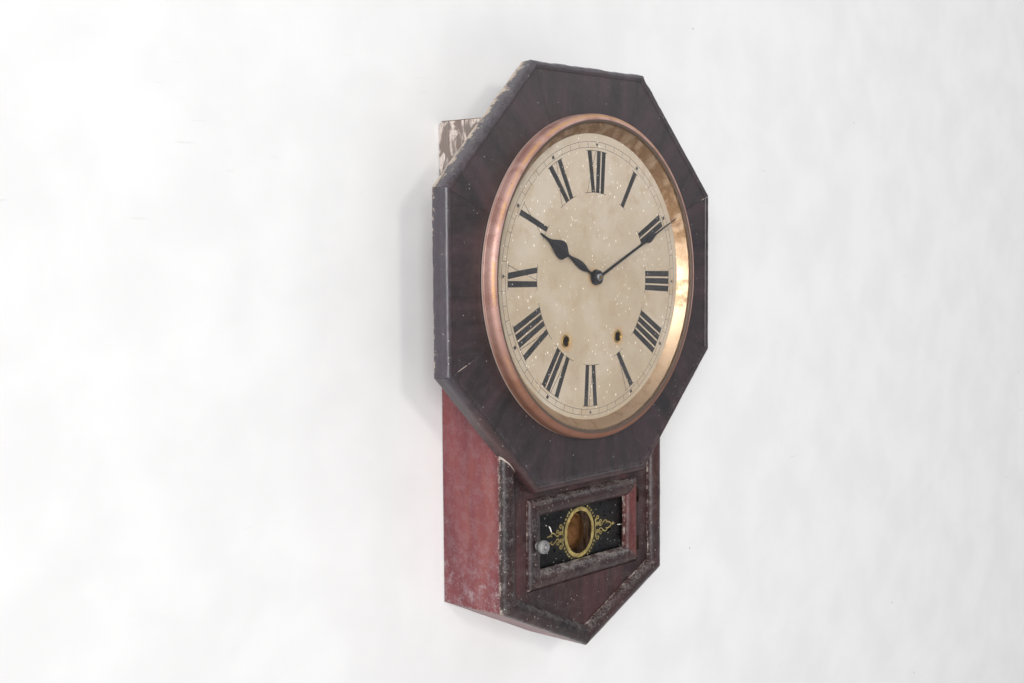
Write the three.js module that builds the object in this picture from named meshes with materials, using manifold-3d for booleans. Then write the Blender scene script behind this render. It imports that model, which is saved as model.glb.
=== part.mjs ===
// An octagonal wall clock with a short drop case, a hinged brass bezel, a small glazed door,
// and an eight-day striking movement with its pendulum and coiled gong.
// Lengths are in millimetres and +Z is up. The wall is the plane y = 0, and the front faces -Y.
// The origin is on the wall, straight behind the middle of the dial.
// A depth is a distance forward from the wall, so a point at depth d has y = -d.

import * as THREE from "three";
import { mergeVertices } from "three/addons/utils/BufferGeometryUtils.js";
import Module from "manifold-3d";

const wasm = await Module();
wasm.setup();

// Clearances shared by all pieces, the sink of one fused body into another, and the overrun of cuts.
const seat = 0.3;
const running = 0.4;
const sink = 0.25;
const overrun = 4;

// Numbers of flat facets round each kind of round form, and of steps along each curve.
const sides = { trundle: 4, pin: 8, shaft: 8, wire: 6, post: 10, disc: 16, bob: 24, ring: 56, opening: 64 };
const steps = { window: 2, corner: 3, bead: 5, moulding: 9, rail: 8, bezel: 5, trunkCorner: 6 };

// The painted dial, which the octagon's opening and the bezel follow.
const dial = {
  thickness: 1.6,
  radius: 153,
  ledge: 10,
  centreHoleRadius: 5.2,
  windingHoleRadius: 4.6,
  grommetRadius: 6.7,
  grommetCrestRadius: 5.6,
  grommetProud: 0.8,
};

// The octagon, with its border counted from the edge of the dial.
const octagon = {
  border: 63,
  back: 74.4,
  face: 90.4,
  beadWidth: 8.1,
  beadProud: 1.9,
  beadDrop: 4.9,
  beadCrest: 4.5,
};
const octagonApothem = dial.radius + octagon.border;

// The lower door.
const door = {
  halfWidth: 91,
  height: 94.8,
  belowOctagon: 7.9,
  gap: 0.65,
  rail: 18.8,
  recess: 1.2,
  crest: 7.1,
  glassFront: 73.8,
  glassThickness: 2,
  rebate: 4,
};
const doorTop = -octagonApothem - door.belowOctagon;
const doorBottom = doorTop - door.height;

// The trunk behind and below the octagon.
const trunk = {
  besideDoor: 41.6,
  belowRim: 56.8,
  belowDoor: 14.6,
  tipDrop: 60.7,
  front: 78.1,
  board: 10,
  cornerRadius: 6,
};
const trunkHalfWidth = door.halfWidth + trunk.besideDoor;
const trunkTop = octagonApothem - trunk.belowRim;
const trunkShoulder = doorBottom - trunk.belowDoor;
const backboard = {
  thickness: 8,
  holeBelowTop: 33.2,
  hangingHoleRadius: 8,
  slotHalfWidth: 4,
  slotLength: 14,
};
const moulding = { width: 20.3, height: 8.1 };
const dropPanel = { thickness: 10.9, behindOctagon: 48 };

// The two hinges of the door and its knob.
const doorHinge = {
  offset: 0.3,
  fromEdge: 20.4,
  knuckles: 3,
  knuckleLength: 5,
  knuckleRadius: 1.9,
  pinRadius: 1,
  leaf: 0.8,
  leafBack: 69.5,
};
const knob = {
  neckRadius: 2.4,
  headRadius: 5.6,
  faceRadius: 4,
  neckLength: 3.2,
  headLength: 5.4,
  round: 1.5,
  spindleRadius: 1.7,
  latchLength: 16,
  latchHalfWidth: 3.2,
  latchThickness: 1.8,
};

// The bezel and its glass, with radii counted from the edge of the dial.
const bezel = {
  roundOverDial: 9.2,
  lipOverDial: 6.2,
  boreOverDial: 8.5,
  roundRadius: 6.1,
  roundDepth: 99.9,
  glassSeatDepth: 104.4,
};
const dialGlassThickness = 1.6;
const reflector = { overDial: 4.4, insideLip: 1.6, sheet: 0.9, foldedEdge: 0.5 };
const bezelHinge = {
  offset: 3.9,
  knuckles: 3,
  knuckleLength: 10,
  knuckleRadius: 2.3,
  pinRadius: 1.1,
  leafWidth: 13,
  leaf: 1,
  strapHalfThickness: 0.6,
  strapReach: 7,
};

// The hands. Outlines are shares of the length and of the greatest half width, from boss to tip.
const hourHand = {
  depth: 95.3,
  thickness: 0.8,
  turnDegrees: 297.6,
  bossRadius: 8.2,
  bossRise: 0.4,
  length: 99,
  halfWidth: 9.5,
  outlineShares: [
    [0.06, 0.2],
    [0.147, 0.15],
    [0.21, 0.36],
    [0.283, 0.45],
    [0.36, 0.38],
    [0.435, 0.22],
    [0.503, 0.14],
    [0.535, 0.4],
    [0.57, 0.8],
    [0.6, 0.97],
    [0.63, 1],
    [0.675, 0.92],
    [0.72, 0.74],
    [0.765, 0.52],
    [0.82, 0.27],
    [0.88, 0.15],
    [0.95, 0.12],
    [0.99, 0.1],
    [1, 0.04],
  ],
};
const minuteHand = {
  depth: 98.9,
  thickness: 0.8,
  turnDegrees: 65.9,
  bossRadius: 6.4,
  bossRise: 0.4,
  length: 150.5,
  halfWidth: 3.8,
  outlineShares: [
    [0.03, 0.32],
    [0.57, 0.28],
    [0.6, 0.5],
    [0.625, 0.85],
    [0.645, 1],
    [0.665, 0.88],
    [0.7, 0.5],
    [0.74, 0.22],
    [0.98, 0.09],
    [1, 0.03],
  ],
};
const handNut = { radius: 3.7, thickness: 1.4, flats: 6 };

// The movement's plates and arbors.
const plates = {
  left: -64,
  right: 60,
  top: 41,
  bottom: -113,
  cornerRadius: 7,
  back: 12,
  gap: 35.5,
  thickness: 1.5,
  pillarRadius: 2.6,
  footRadius: 5,
  pillarInset: 7,
};
const plateWindow = { left: 26, right: 50, bottom: 4, top: 28, cornerRadius: 4 };
const arbor = { radius: 1.5, pivotRadius: 0.9, endShake: 0.35 };
const handArbor = { radius: 2, front: 101.5 };
const windingArbor = {
  timeX: 40.4,
  strikeX: -45.6,
  z: -64.3,
  radius: 3.1,
  pivotRadius: 1.8,
  squareHalf: 2.1,
  squareLength: 16,
  front: 88,
  collarRadius: 4.6,
  collarLength: 2.2,
};

// The depths of the back faces of the wheels.
const planes = {
  spring: 16.5,
  strikeThird: 26,
  great: 32.5,
  second: 37,
  third: 40.5,
  centre: 44,
  escape: 52.2,
  minute: 52,
  hour: 55,
  pendulum: 59,
};
const wheelForm = {
  greatThickness: 2,
  secondThickness: 1.5,
  thickness: 1.2,
  rim: 2.2,
  windowInnerRadius: 5,
  spokeHalfWidth: 1.3,
  spokes: 4,
};
const lantern = { shroud: 0.7, trundleRadius: 0.45, rim: 1.1, reach: 0.9 };
const gears = {
  great: { teeth: 60, module: 1.3 },
  secondPinion: { teeth: 10, module: 1.3 },
  second: { teeth: 40, module: 1.3 },
  centrePinion: { teeth: 10, module: 1.3 },
  centre: { teeth: 54, module: 1 },
  thirdPinion: { teeth: 6, module: 1 },
  third: { teeth: 60, module: 0.827 },
  escapePinion: { teeth: 6, module: 0.827 },
  cannon: { teeth: 10, module: 0.96 },
  minute: { teeth: 30, module: 0.96 },
  minutePinion: { teeth: 8, module: 0.96 },
  hour: { teeth: 32, module: 0.96 },
  strikeSecond: { teeth: 48, module: 1.067 },
  strikeThirdPinion: { teeth: 6, module: 1.067 },
  strikeThird: { teeth: 42, module: 1.0625 },
  flyPinion: { teeth: 6, module: 1.0625 },
};
const wheelToothShares = { addendum: 0.85, dedendum: 1.35 };
const leafShares = { addendum: 0.75, dedendum: 1.35 };
const escapement = {
  teeth: 40,
  radius: 15.5,
  toothHeight: 3,
  leanShare: 0.75,
  rim: 2.2,
  windowInnerRadius: 4.6,
  spokeHalfWidth: 0.8,
};
const hourPipe = { radius: 3.5, bore: 2.45 };
const stud = { radius: 1.2, reach: 0.5 };
const escapeAt = { x: 0, z: -44 };
const minuteWheelAt = { x: 12.3, z: 14.7 };
const strikeSecondAt = { x: -50, z: -19.2 };
const strikeThirdAt = { x: -38, z: 7 };

// The pendulum with the cock that hangs it and the verge that drives it.
const pendulum = {
  pivot: -24,
  length: 248.5,
  rodRadius: 0.95,
  springHalfThickness: 0.25,
  springHalfWidth: 2,
  springBelowPivot: 11,
  bobRadius: 22.5,
  bobHalfThickness: 5.5,
  bobHalfRim: 1.2,
  nutRadius: 4.5,
  nutLength: 4,
  tail: 9,
  bobRoundShares: [0, 0.5, 0.85],
};
const cock = { halfWidth: 2.4, bottom: -21.4, top: -18.9, front: 61.5 };
const verge = {
  hubRadius: 2.2,
  hubRise: 2,
  strap: 1.3,
  spanDegrees: 42,
  drop: 1.1,
  width: 2,
  strapRise: 2.4,
  shoulderShare: 0.7,
  crutchHalf: 0.7,
  forkBelowPivot: 24,
  forkReach: 2.2,
};

// The sprung and sounding pieces.
const mainspring = { outerRadius: 29, turns: 3, strip: 0.9, width: 14, stepsPerTurn: 24 };
const gong = {
  x: 12,
  z: -170,
  depth: 24,
  innerRadius: 8,
  outerRadius: 38,
  turns: 3,
  wireRadius: 1.4,
  stepsPerTurn: 24,
  baseRadius: 12,
  baseEdge: 3,
  baseHeight: 5,
  capHeight: 2.8,
  capRadius: 3,
};
const hammer = {
  x: -2.6,
  z: -98,
  headX: -9,
  headZ: -137.3,
  headRadius: 5,
  headHalfLength: 4.5,
  depth: 24,
  wireRadius: 1.1,
  collarRadius: 3,
  collarHalfLength: 2,
};
const fly = { x: -22, z: 26.8, halfSpan: 15, halfSheet: 0.4, back: 33, front: 43, hubRadius: 2.4 };

const fullTurn = Math.PI * 2;
const quarterTurn = Math.PI / 2;

const finishes = {
  frontWood: { color: 0x2e1917, roughness: 0.45, metalness: 0 },
  sideWood: { color: 0x5e2622, roughness: 0.5, metalness: 0 },
  rawWood: { color: 0x9a7a58, roughness: 0.8, metalness: 0 },
  copper: { color: 0xb07a62, roughness: 0.38, metalness: 1 },
  brass: { color: 0xb9975b, roughness: 0.35, metalness: 1 },
  steel: { color: 0x8d8f92, roughness: 0.4, metalness: 1 },
  blueSteel: { color: 0x23252b, roughness: 0.45, metalness: 0.8 },
  handBlack: { color: 0x17181b, roughness: 0.5, metalness: 0.3 },
  dialPaint: { color: 0xd9ccb4, roughness: 0.75, metalness: 0 },
  clearGlass: { color: 0xdfe6e4, roughness: 0.08, metalness: 0 },
  backedGlass: { color: 0x101012, roughness: 0.12, metalness: 0 },
  pewter: { color: 0x8f8f92, roughness: 0.45, metalness: 0.6 },
  castIron: { color: 0x2b2a29, roughness: 0.6, metalness: 0.7 },
};

const clock = new THREE.Group();

// Turns a closed geometry into a solid whose faces point out.
function solidFrom(geometry) {
  const bare = geometry.clone();
  bare.deleteAttribute("normal");
  bare.deleteAttribute("uv");
  const merged = mergeVertices(bare);
  const place = merged.attributes.position;
  const index = merged.index.array;
  const triangles = [];
  let volume = 0;
  for (let at = 0; at < index.length; at += 3) {
    const three = [index[at], index[at + 1], index[at + 2]];
    if (new Set(three).size === three.length) {
      const [a, b, c] = three.map((which) => new THREE.Vector3().fromBufferAttribute(place, which));
      volume += a.dot(b.cross(c));
      triangles.push(three);
    }
  }
  const facing = volume < 0 ? triangles.map(([a, b, c]) => [a, c, b]) : triangles;
  const mesh = new wasm.Mesh({
    numProp: 3,
    vertProperties: new Float32Array(place.array),
    triVerts: new Uint32Array(facing.flat()),
  });
  return new wasm.Manifold(mesh);
}

function joined(...solids) {
  return solids.reduce((whole, solid) => whole.add(solid));
}

function cutBy(solid, ...cutters) {
  return cutters.reduce((rest, cutter) => rest.subtract(cutter), solid);
}

// Adds one named sub-part with its own material to the clock.
function addPart(name, solid, finish) {
  const mesh = solid.getMesh();
  const geometry = new THREE.BufferGeometry();
  geometry.setAttribute("position", new THREE.BufferAttribute(new Float32Array(mesh.vertProperties), 3));
  geometry.setIndex(new THREE.BufferAttribute(new Uint32Array(mesh.triVerts), 1));
  geometry.computeVertexNormals();
  const part = new THREE.Mesh(geometry, new THREE.MeshStandardMaterial({ ...finish, flatShading: true }));
  part.name = name;
  clock.add(part);
}

function polar(radius, angle, centre) {
  return new THREE.Vector2(centre.x + radius * Math.cos(angle), centre.z + radius * Math.sin(angle));
}

function circle(centre, radius, count) {
  return Array.from({ length: count }, (_, i) => polar(radius, (fullTurn * i) / count, centre));
}

function rectangle(left, right, bottom, top) {
  return [
    new THREE.Vector2(left, bottom),
    new THREE.Vector2(right, bottom),
    new THREE.Vector2(right, top),
    new THREE.Vector2(left, top),
  ];
}

function roundedRectangle({ left, right, bottom, top, cornerRadius }) {
  const centres = [
    { x: right - cornerRadius, z: top - cornerRadius },
    { x: left + cornerRadius, z: top - cornerRadius },
    { x: left + cornerRadius, z: bottom + cornerRadius },
    { x: right - cornerRadius, z: bottom + cornerRadius },
  ];
  return centres.flatMap((centre, corner) =>
    Array.from({ length: steps.corner + 1 }, (_, i) =>
      polar(cornerRadius, quarterTurn * (corner + i / steps.corner), centre),
    ),
  );
}

// A flat piece with an outline in the XZ plane, between two depths.
function slab(outline, backDepth, frontDepth, holes = []) {
  const shape = new THREE.Shape(outline);
  shape.holes = holes.map((hole) => new THREE.Path(hole));
  const geometry = new THREE.ExtrudeGeometry(shape, { depth: frontDepth - backDepth, bevelEnabled: false });
  geometry.rotateX(quarterTurn);
  geometry.translate(0, -backDepth, 0);
  return solidFrom(geometry);
}

function block(left, right, bottom, top, backDepth, frontDepth) {
  return slab(rectangle(left, right, bottom, top), backDepth, frontDepth);
}

// A piece turned about an axis straight out of the wall. The profile is a list of [radius, depth].
function turned(centre, profile, count) {
  const points = profile.map(([radius, depth]) => new THREE.Vector2(radius, -depth));
  const geometry = new THREE.LatheGeometry(points, count);
  geometry.translate(centre.x, 0, centre.z);
  return solidFrom(geometry);
}

function disc(centre, radius, backDepth, frontDepth, count) {
  const profile = [
    [0, backDepth],
    [radius, backDepth],
    [radius, frontDepth],
    [0, frontDepth],
  ];
  return turned(centre, profile, count);
}

// A piece turned about an upright axis. The profile is a list of [radius, height].
function turnedUpright(x, depth, profile, count) {
  const points = profile.map(([radius, height]) => new THREE.Vector2(radius, height));
  const geometry = new THREE.LatheGeometry(points, count);
  geometry.rotateX(quarterTurn);
  geometry.translate(x, -depth, 0);
  return solidFrom(geometry);
}

function uprightRod(x, depth, radius, bottom, top, count) {
  const profile = [
    [0, bottom],
    [radius, bottom],
    [radius, top],
    [0, top],
  ];
  return turnedUpright(x, depth, profile, count);
}

// A round wire along a path.
function wire(path, radius, count, stepCount) {
  const section = new THREE.Shape(circle({ x: 0, z: 0 }, radius, count));
  const options = { steps: stepCount, extrudePath: path, bevelEnabled: false };
  return solidFrom(new THREE.ExtrudeGeometry(section, options));
}

// The vectors by which each corner of an anticlockwise outline moves for one unit of inset.
function mitres(corners) {
  const normals = corners.map((corner, i) => {
    const along = corners[(i + 1) % corners.length].clone().sub(corner).normalize();
    return new THREE.Vector2(-along.y, along.x);
  });
  return corners.map((_, i) => {
    const before = normals[(i + corners.length - 1) % corners.length];
    const after = normals[i];
    return before.clone().add(after).divideScalar(1 + before.dot(after));
  });
}

function inset(corners, distance) {
  const moves = mitres(corners);
  return corners.map((corner, i) => corner.clone().addScaledVector(moves[i], distance));
}

// One mitred length along the side of an outline. The section is a list of [inward, depth].
function frameMember(corners, side, section) {
  const moves = mitres(corners);
  const next = (side + 1) % corners.length;
  const along = corners[next].clone().sub(corners[side]).normalize();
  const outline = section.map(([inward, depth]) => new THREE.Vector2(inward, depth));
  const geometry = new THREE.ExtrudeGeometry(new THREE.Shape(outline), { depth: 1, bevelEnabled: false });
  const place = geometry.attributes.position;
  for (let i = 0; i < place.count; i += 1) {
    const atEnd = place.getZ(i) > 0;
    const corner = atEnd ? corners[next] : corners[side];
    const move = atEnd ? moves[next] : moves[side];
    const seam = (seat / 2) * move.length() * (atEnd ? -1 : 1);
    const spot = corner.clone().addScaledVector(move, place.getX(i)).addScaledVector(along, seam);
    place.setXYZ(i, spot.x, -place.getY(i), spot.y);
  }
  return solidFrom(geometry);
}

// A half-round section of a given width and height on a base depth.
function halfRound(width, height, base, stepCount) {
  return Array.from({ length: stepCount + 1 }, (_, i) => {
    const angle = (Math.PI * i) / stepCount;
    return [(width / 2) * (1 - Math.cos(angle)), base + height * Math.sin(angle)];
  });
}

const centreAt = { x: 0, z: 0 };
const octagonSides = 8;
const octagonHalfAngle = fullTurn / octagonSides / 2;
const faceDepth = octagon.face + seat;
const dialFront = faceDepth + dial.thickness;
const panelBack = trunk.front - dropPanel.thickness;

// The octagon's outline, anticlockwise from the right end of its top side.
function octagonOutline(apothem) {
  const radius = apothem / Math.cos(octagonHalfAngle);
  return Array.from({ length: octagonSides }, (_, i) =>
    polar(radius, octagonHalfAngle * (3 + 2 * i), centreAt),
  );
}

// The five-sided outline of the trunk below a given height, anticlockwise from its upper left corner.
function trunkOutline(top) {
  return [
    new THREE.Vector2(-trunkHalfWidth, top),
    new THREE.Vector2(-trunkHalfWidth, trunkShoulder),
    new THREE.Vector2(0, trunkShoulder - trunk.tipDrop),
    new THREE.Vector2(trunkHalfWidth, trunkShoulder),
    new THREE.Vector2(trunkHalfWidth, top),
  ];
}

const octagonSpace = slab(
  octagonOutline(octagonApothem + seat),
  octagon.back - seat,
  octagon.face + overrun,
);
const caseOutline = trunkOutline(trunkTop);
const doorOutline = [
  new THREE.Vector2(door.halfWidth, doorTop),
  new THREE.Vector2(-door.halfWidth, doorTop),
  new THREE.Vector2(-door.halfWidth, doorBottom),
  new THREE.Vector2(door.halfWidth, doorBottom),
];

// The space outside the round on the upper rear corner of the trunk, across its whole width.
function trunkCornerSpace() {
  const radius = trunk.cornerRadius;
  const arc = Array.from({ length: steps.trunkCorner + 1 }, (_, i) => {
    const angle = (quarterTurn * i) / steps.trunkCorner;
    return new THREE.Vector2(radius * (1 - Math.cos(angle)), trunkTop - radius * (1 - Math.sin(angle)));
  });
  const outside = [
    ...arc,
    new THREE.Vector2(radius, trunkTop + overrun),
    new THREE.Vector2(-overrun, trunkTop + overrun),
    new THREE.Vector2(-overrun, trunkTop - radius),
  ];
  const width = trunkHalfWidth + overrun;
  const shape = new THREE.Shape(outside);
  const geometry = new THREE.ExtrudeGeometry(shape, { depth: 2 * width, bevelEnabled: false });
  const place = geometry.attributes.position;
  for (let i = 0; i < place.count; i += 1) {
    place.setXYZ(i, place.getZ(i) - width, -place.getX(i), place.getY(i));
  }
  return solidFrom(geometry);
}

function addTrunkBoards() {
  const section = [
    [0, 0],
    [0, trunk.front],
    [trunk.board, trunk.front],
    [trunk.board, 0],
  ];
  const boards = [
    ["case_side_left", finishes.sideWood],
    ["case_bottom_left", finishes.sideWood],
    ["case_bottom_right", finishes.sideWood],
    ["case_side_right", finishes.sideWood],
    ["case_top", finishes.rawWood],
  ];
  const corner = trunkCornerSpace();
  boards.forEach(([name, finish], side) => {
    addPart(name, cutBy(frameMember(caseOutline, side, section), octagonSpace, corner), finish);
  });
}

// The back board with its keyhole for hanging.
function addBackboard() {
  const { thickness, holeBelowTop, hangingHoleRadius, slotHalfWidth, slotLength } = backboard;
  const holeHeight = trunkTop - holeBelowTop;
  const hole = circle({ x: 0, z: holeHeight }, hangingHoleRadius, sides.disc);
  const slotTop = holeHeight + slotLength;
  const keyhole = joined(
    slab(hole, -overrun, thickness + overrun),
    block(-slotHalfWidth, slotHalfWidth, holeHeight, slotTop, -overrun, thickness + overrun),
  );
  const sheet = slab(inset(caseOutline, trunk.board + seat), 0, thickness);
  addPart("backboard", cutBy(sheet, keyhole), finishes.rawWood);
}

// The eight rails of the octagon, each with a rounded rim bead along its outer edge.
function addOctagon() {
  const crest = octagon.face + octagon.beadProud;
  const outerArc = Array.from({ length: steps.bead + 1 }, (_, i) => {
    const angle = (quarterTurn * i) / steps.bead;
    const rise = octagon.beadProud + octagon.beadDrop;
    return [octagon.beadCrest * (1 - Math.cos(angle)), crest - rise * (1 - Math.sin(angle))];
  });
  const innerArc = Array.from({ length: steps.bead }, (_, i) => {
    const angle = (quarterTurn * (i + 1)) / steps.bead;
    const width = octagon.beadWidth - octagon.beadCrest;
    return [octagon.beadCrest + width * Math.sin(angle), crest - octagon.beadProud * (1 - Math.cos(angle))];
  });
  const openingRadius = dial.radius - dial.ledge;
  const railWidth = octagonApothem - openingRadius * Math.cos(octagonHalfAngle) + overrun;
  const section = [
    [0, octagon.back],
    ...outerArc,
    ...innerArc,
    [railWidth, octagon.face],
    [railWidth, octagon.back],
  ];
  const outline = octagonOutline(octagonApothem);
  const edge = circle(centreAt, openingRadius, sides.opening);
  const opening = slab(edge, octagon.back - overrun, octagon.face + overrun);
  outline.forEach((_, side) => {
    const rail = cutBy(frameMember(outline, side, section), opening);
    addPart(`octagon_rail_${side + 1}`, rail, finishes.frontWood);
  });
}

// The lower front panel with the door's opening and the pockets of the hinges.
function addDropPanel() {
  const opening = inset(doorOutline, -door.gap);
  const outline = inset(trunkOutline(dropPanel.behindOctagon - octagonApothem), trunk.board + seat);
  const sheet = slab(outline, panelBack, trunk.front, [opening]);
  const edge = door.halfWidth + door.gap;
  const pockets = hingeHeights.map((height) => {
    const half = hingeHalfLength + seat;
    const side = edge + doorHinge.leaf + seat;
    const back = doorHinge.leafBack - seat;
    return block(edge - overrun, side, height - half, height + half, back, trunk.front + overrun);
  });
  addPart("drop_front_panel", cutBy(sheet, octagonSpace, ...pockets), finishes.frontWood);
}

function addDropMouldings() {
  const section = halfRound(moulding.width, moulding.height, trunk.front + seat, steps.moulding);
  const places = ["left", "lower_left", "lower_right", "right"];
  const mouldingOutline = trunkOutline(centreAt.z);
  places.forEach((place, side) => {
    const length = cutBy(frameMember(mouldingOutline, side, section), octagonSpace);
    addPart(`drop_moulding_${place}`, length, finishes.frontWood);
  });
}

const doorMiddle = (doorTop + doorBottom) / 2;
const hingeHeights = [doorTop - doorHinge.fromEdge, doorBottom + doorHinge.fromEdge];
const doorBase = trunk.front - door.recess;
const hingeX = door.halfWidth + doorHinge.offset;
const hingeDepth = trunk.front + seat + doorHinge.knuckleRadius;
const hingeHalfLength = (doorHinge.knuckles * doorHinge.knuckleLength) / 2;
const knobAt = { x: door.rail / 2 - door.halfWidth, z: doorMiddle };

// The door's four mitred members with their rebate for the glass.
function addDoorFrame() {
  const glassStop = door.rail - door.rebate;
  const rebateFace = door.glassFront + seat;
  const section = [
    [0, panelBack],
    ...halfRound(door.rail, door.crest, doorBase, steps.rail),
    [door.rail, rebateFace],
    [glassStop, rebateFace],
    [glassStop, panelBack],
  ];
  const knuckleCuts = hingeHeights.flatMap((height) => {
    const bottom = height - hingeHalfLength - seat;
    const top = height + hingeHalfLength + seat;
    const leafFace = door.halfWidth - doorHinge.leaf - seat;
    return [
      uprightRod(hingeX, hingeDepth, doorHinge.knuckleRadius + running, bottom, top, sides.disc),
      block(leafFace, door.halfWidth + overrun, bottom, top, doorHinge.leafBack - seat, hingeDepth),
    ];
  });
  const spindle = circle(knobAt, knob.spindleRadius + running, sides.post);
  const spindleHole = slab(spindle, panelBack - overrun, trunk.front + door.crest + overrun);
  const members = [
    ["door_rail_top", []],
    ["door_stile_left", [spindleHole]],
    ["door_rail_bottom", []],
    ["door_stile_right", knuckleCuts],
  ];
  members.forEach(([name, cuts], side) => {
    addPart(name, cutBy(frameMember(doorOutline, side, section), ...cuts), finishes.frontWood);
  });
  const pane = inset(doorOutline, glassStop + seat);
  const glassBack = door.glassFront - door.glassThickness;
  addPart("door_glass", slab(pane, glassBack, door.glassFront), finishes.backedGlass);
}

// The knob, with the spindle through the stile and the latch arm that turns behind it.
function addDoorKnob() {
  const latchFront = panelBack - seat;
  const latchBack = latchFront - knob.latchThickness;
  const neck = doorBase + door.crest + seat;
  const head = neck + knob.neckLength;
  const front = head + knob.headLength;
  const profile = [
    [0, latchBack],
    [knob.spindleRadius, latchBack],
    [knob.spindleRadius, neck],
    [knob.neckRadius, neck],
    [knob.neckRadius, head - knob.round],
    [knob.faceRadius, head],
    [knob.headRadius, head + knob.round],
    [knob.headRadius, front - knob.round],
    [knob.faceRadius, front],
    [0, front],
  ];
  const { latchHalfWidth, latchLength } = knob;
  const latch = block(
    knobAt.x - latchHalfWidth,
    knobAt.x + latchHalfWidth,
    knobAt.z - latchHalfWidth,
    knobAt.z + latchLength,
    latchBack,
    latchFront,
  );
  addPart("door_knob", joined(turned(knobAt, profile, sides.disc), latch), finishes.pewter);
}

// A butt hinge. The fixed leaf carries the outer knuckles and the pin, the moving leaf the middle one.
function addDoorHinge(name, height) {
  const { knuckleRadius, pinRadius, leaf, leafBack, knuckleLength } = doorHinge;
  const bottom = height - hingeHalfLength;
  const top = height + hingeHalfLength;
  const low = bottom + knuckleLength;
  const high = top - knuckleLength;
  const edge = door.halfWidth + door.gap;
  const outer = uprightRod(hingeX, hingeDepth, knuckleRadius, bottom, top, sides.post);
  const fixedLeaf = block(edge, edge + leaf, bottom, top, leafBack, hingeDepth);
  const middle = uprightRod(hingeX, hingeDepth, knuckleRadius + running, low - seat, high + seat, sides.disc);
  const pin = uprightRod(hingeX, hingeDepth, pinRadius, bottom, top, sides.pin);
  addPart(name, joined(cutBy(joined(outer, fixedLeaf), middle), pin), finishes.brass);
  const movingLeaf = block(door.halfWidth - leaf, door.halfWidth, low, high, leafBack, hingeDepth);
  const barrel = uprightRod(hingeX, hingeDepth, knuckleRadius, low, high, sides.post);
  const hole = uprightRod(hingeX, hingeDepth, pinRadius + running, low - overrun, high + overrun, sides.post);
  addPart(`${name}_leaf`, cutBy(joined(barrel, movingLeaf), hole), finishes.brass);
}

// The painted dial plate with a round eyelet in each winding hole.
function addDial() {
  const windingCentres = [timeGreatAt, strikeGreatAt];
  const sheet = slab(circle(centreAt, dial.radius, sides.ring), faceDepth, dialFront, [
    circle(centreAt, dial.centreHoleRadius, sides.disc),
    ...windingCentres.map((centre) => circle(centre, dial.grommetRadius - sink, sides.disc)),
  ]);
  const eyelet = [
    [dial.windingHoleRadius, faceDepth],
    [dial.grommetRadius, faceDepth],
    [dial.grommetRadius, dialFront],
    [dial.grommetCrestRadius, dialFront + dial.grommetProud],
    [dial.windingHoleRadius, dialFront],
    [dial.windingHoleRadius, faceDepth],
  ];
  const eyelets = windingCentres.map((centre) => turned(centre, eyelet, sides.disc));
  addPart("dial_plate", joined(sheet, ...eyelets), finishes.dialPaint);
}

const bezelRoundCentre = dial.radius + bezel.roundOverDial;
const bezelLip = dial.radius + bezel.lipOverDial;
const bezelBore = dial.radius + bezel.boreOverDial;
const bezelPinX = bezelRoundCentre + bezel.roundRadius + bezelHinge.offset;
const bezelPinDepth = faceDepth + bezelHinge.knuckleRadius;

// The bezel ring with the middle knuckle of its hinge.
function addBezel() {
  const { roundRadius, roundDepth, glassSeatDepth } = bezel;
  const sweep = Math.PI - Math.acos((bezelRoundCentre - bezelLip) / roundRadius);
  const round = Array.from({ length: steps.bezel + 1 }, (_, i) => {
    const angle = (sweep * i) / steps.bezel;
    return [bezelRoundCentre + roundRadius * Math.cos(angle), roundDepth + roundRadius * Math.sin(angle)];
  });
  const profile = [
    [bezelBore, faceDepth],
    [bezelRoundCentre + roundRadius, faceDepth],
    ...round,
    [bezelLip, glassSeatDepth],
    [bezelBore, glassSeatDepth],
    [bezelBore, faceDepth],
  ];
  const { knuckleRadius, knuckleLength, strapReach, strapHalfThickness, pinRadius } = bezelHinge;
  const half = knuckleLength / 2;
  const barrel = uprightRod(bezelPinX, bezelPinDepth, knuckleRadius, -half, half, sides.post);
  const strapBack = bezelPinDepth - strapHalfThickness;
  const strapFront = bezelPinDepth + strapHalfThickness;
  const strap = block(bezelPinX - strapReach, bezelPinX, -half, half, strapBack, strapFront);
  const boreEnd = half + overrun;
  const bore = uprightRod(bezelPinX, bezelPinDepth, pinRadius + running, -boreEnd, boreEnd, sides.post);
  const ring = turned(centreAt, profile, sides.ring);
  addPart("dial_bezel", cutBy(joined(ring, strap, barrel), bore), finishes.copper);
}

// The fixed leaf of the bezel's hinge, with its two knuckles and the pin.
function addBezelHinge() {
  const { knuckles, knuckleRadius, pinRadius, knuckleLength, leafWidth, leaf } = bezelHinge;
  const half = (knuckles * knuckleLength) / 2;
  const middle = knuckleLength / 2 + seat;
  const outer = uprightRod(bezelPinX, bezelPinDepth, knuckleRadius, -half, half, sides.post);
  const plate = block(bezelPinX, bezelPinX + leafWidth, -half, half, faceDepth, faceDepth + leaf);
  const gap = uprightRod(bezelPinX, bezelPinDepth, knuckleRadius + running, -middle, middle, sides.disc);
  const pin = uprightRod(bezelPinX, bezelPinDepth, pinRadius, -half, half, sides.pin);
  addPart("bezel_hinge", joined(cutBy(joined(outer, plate), gap), pin), finishes.brass);
}

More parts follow.
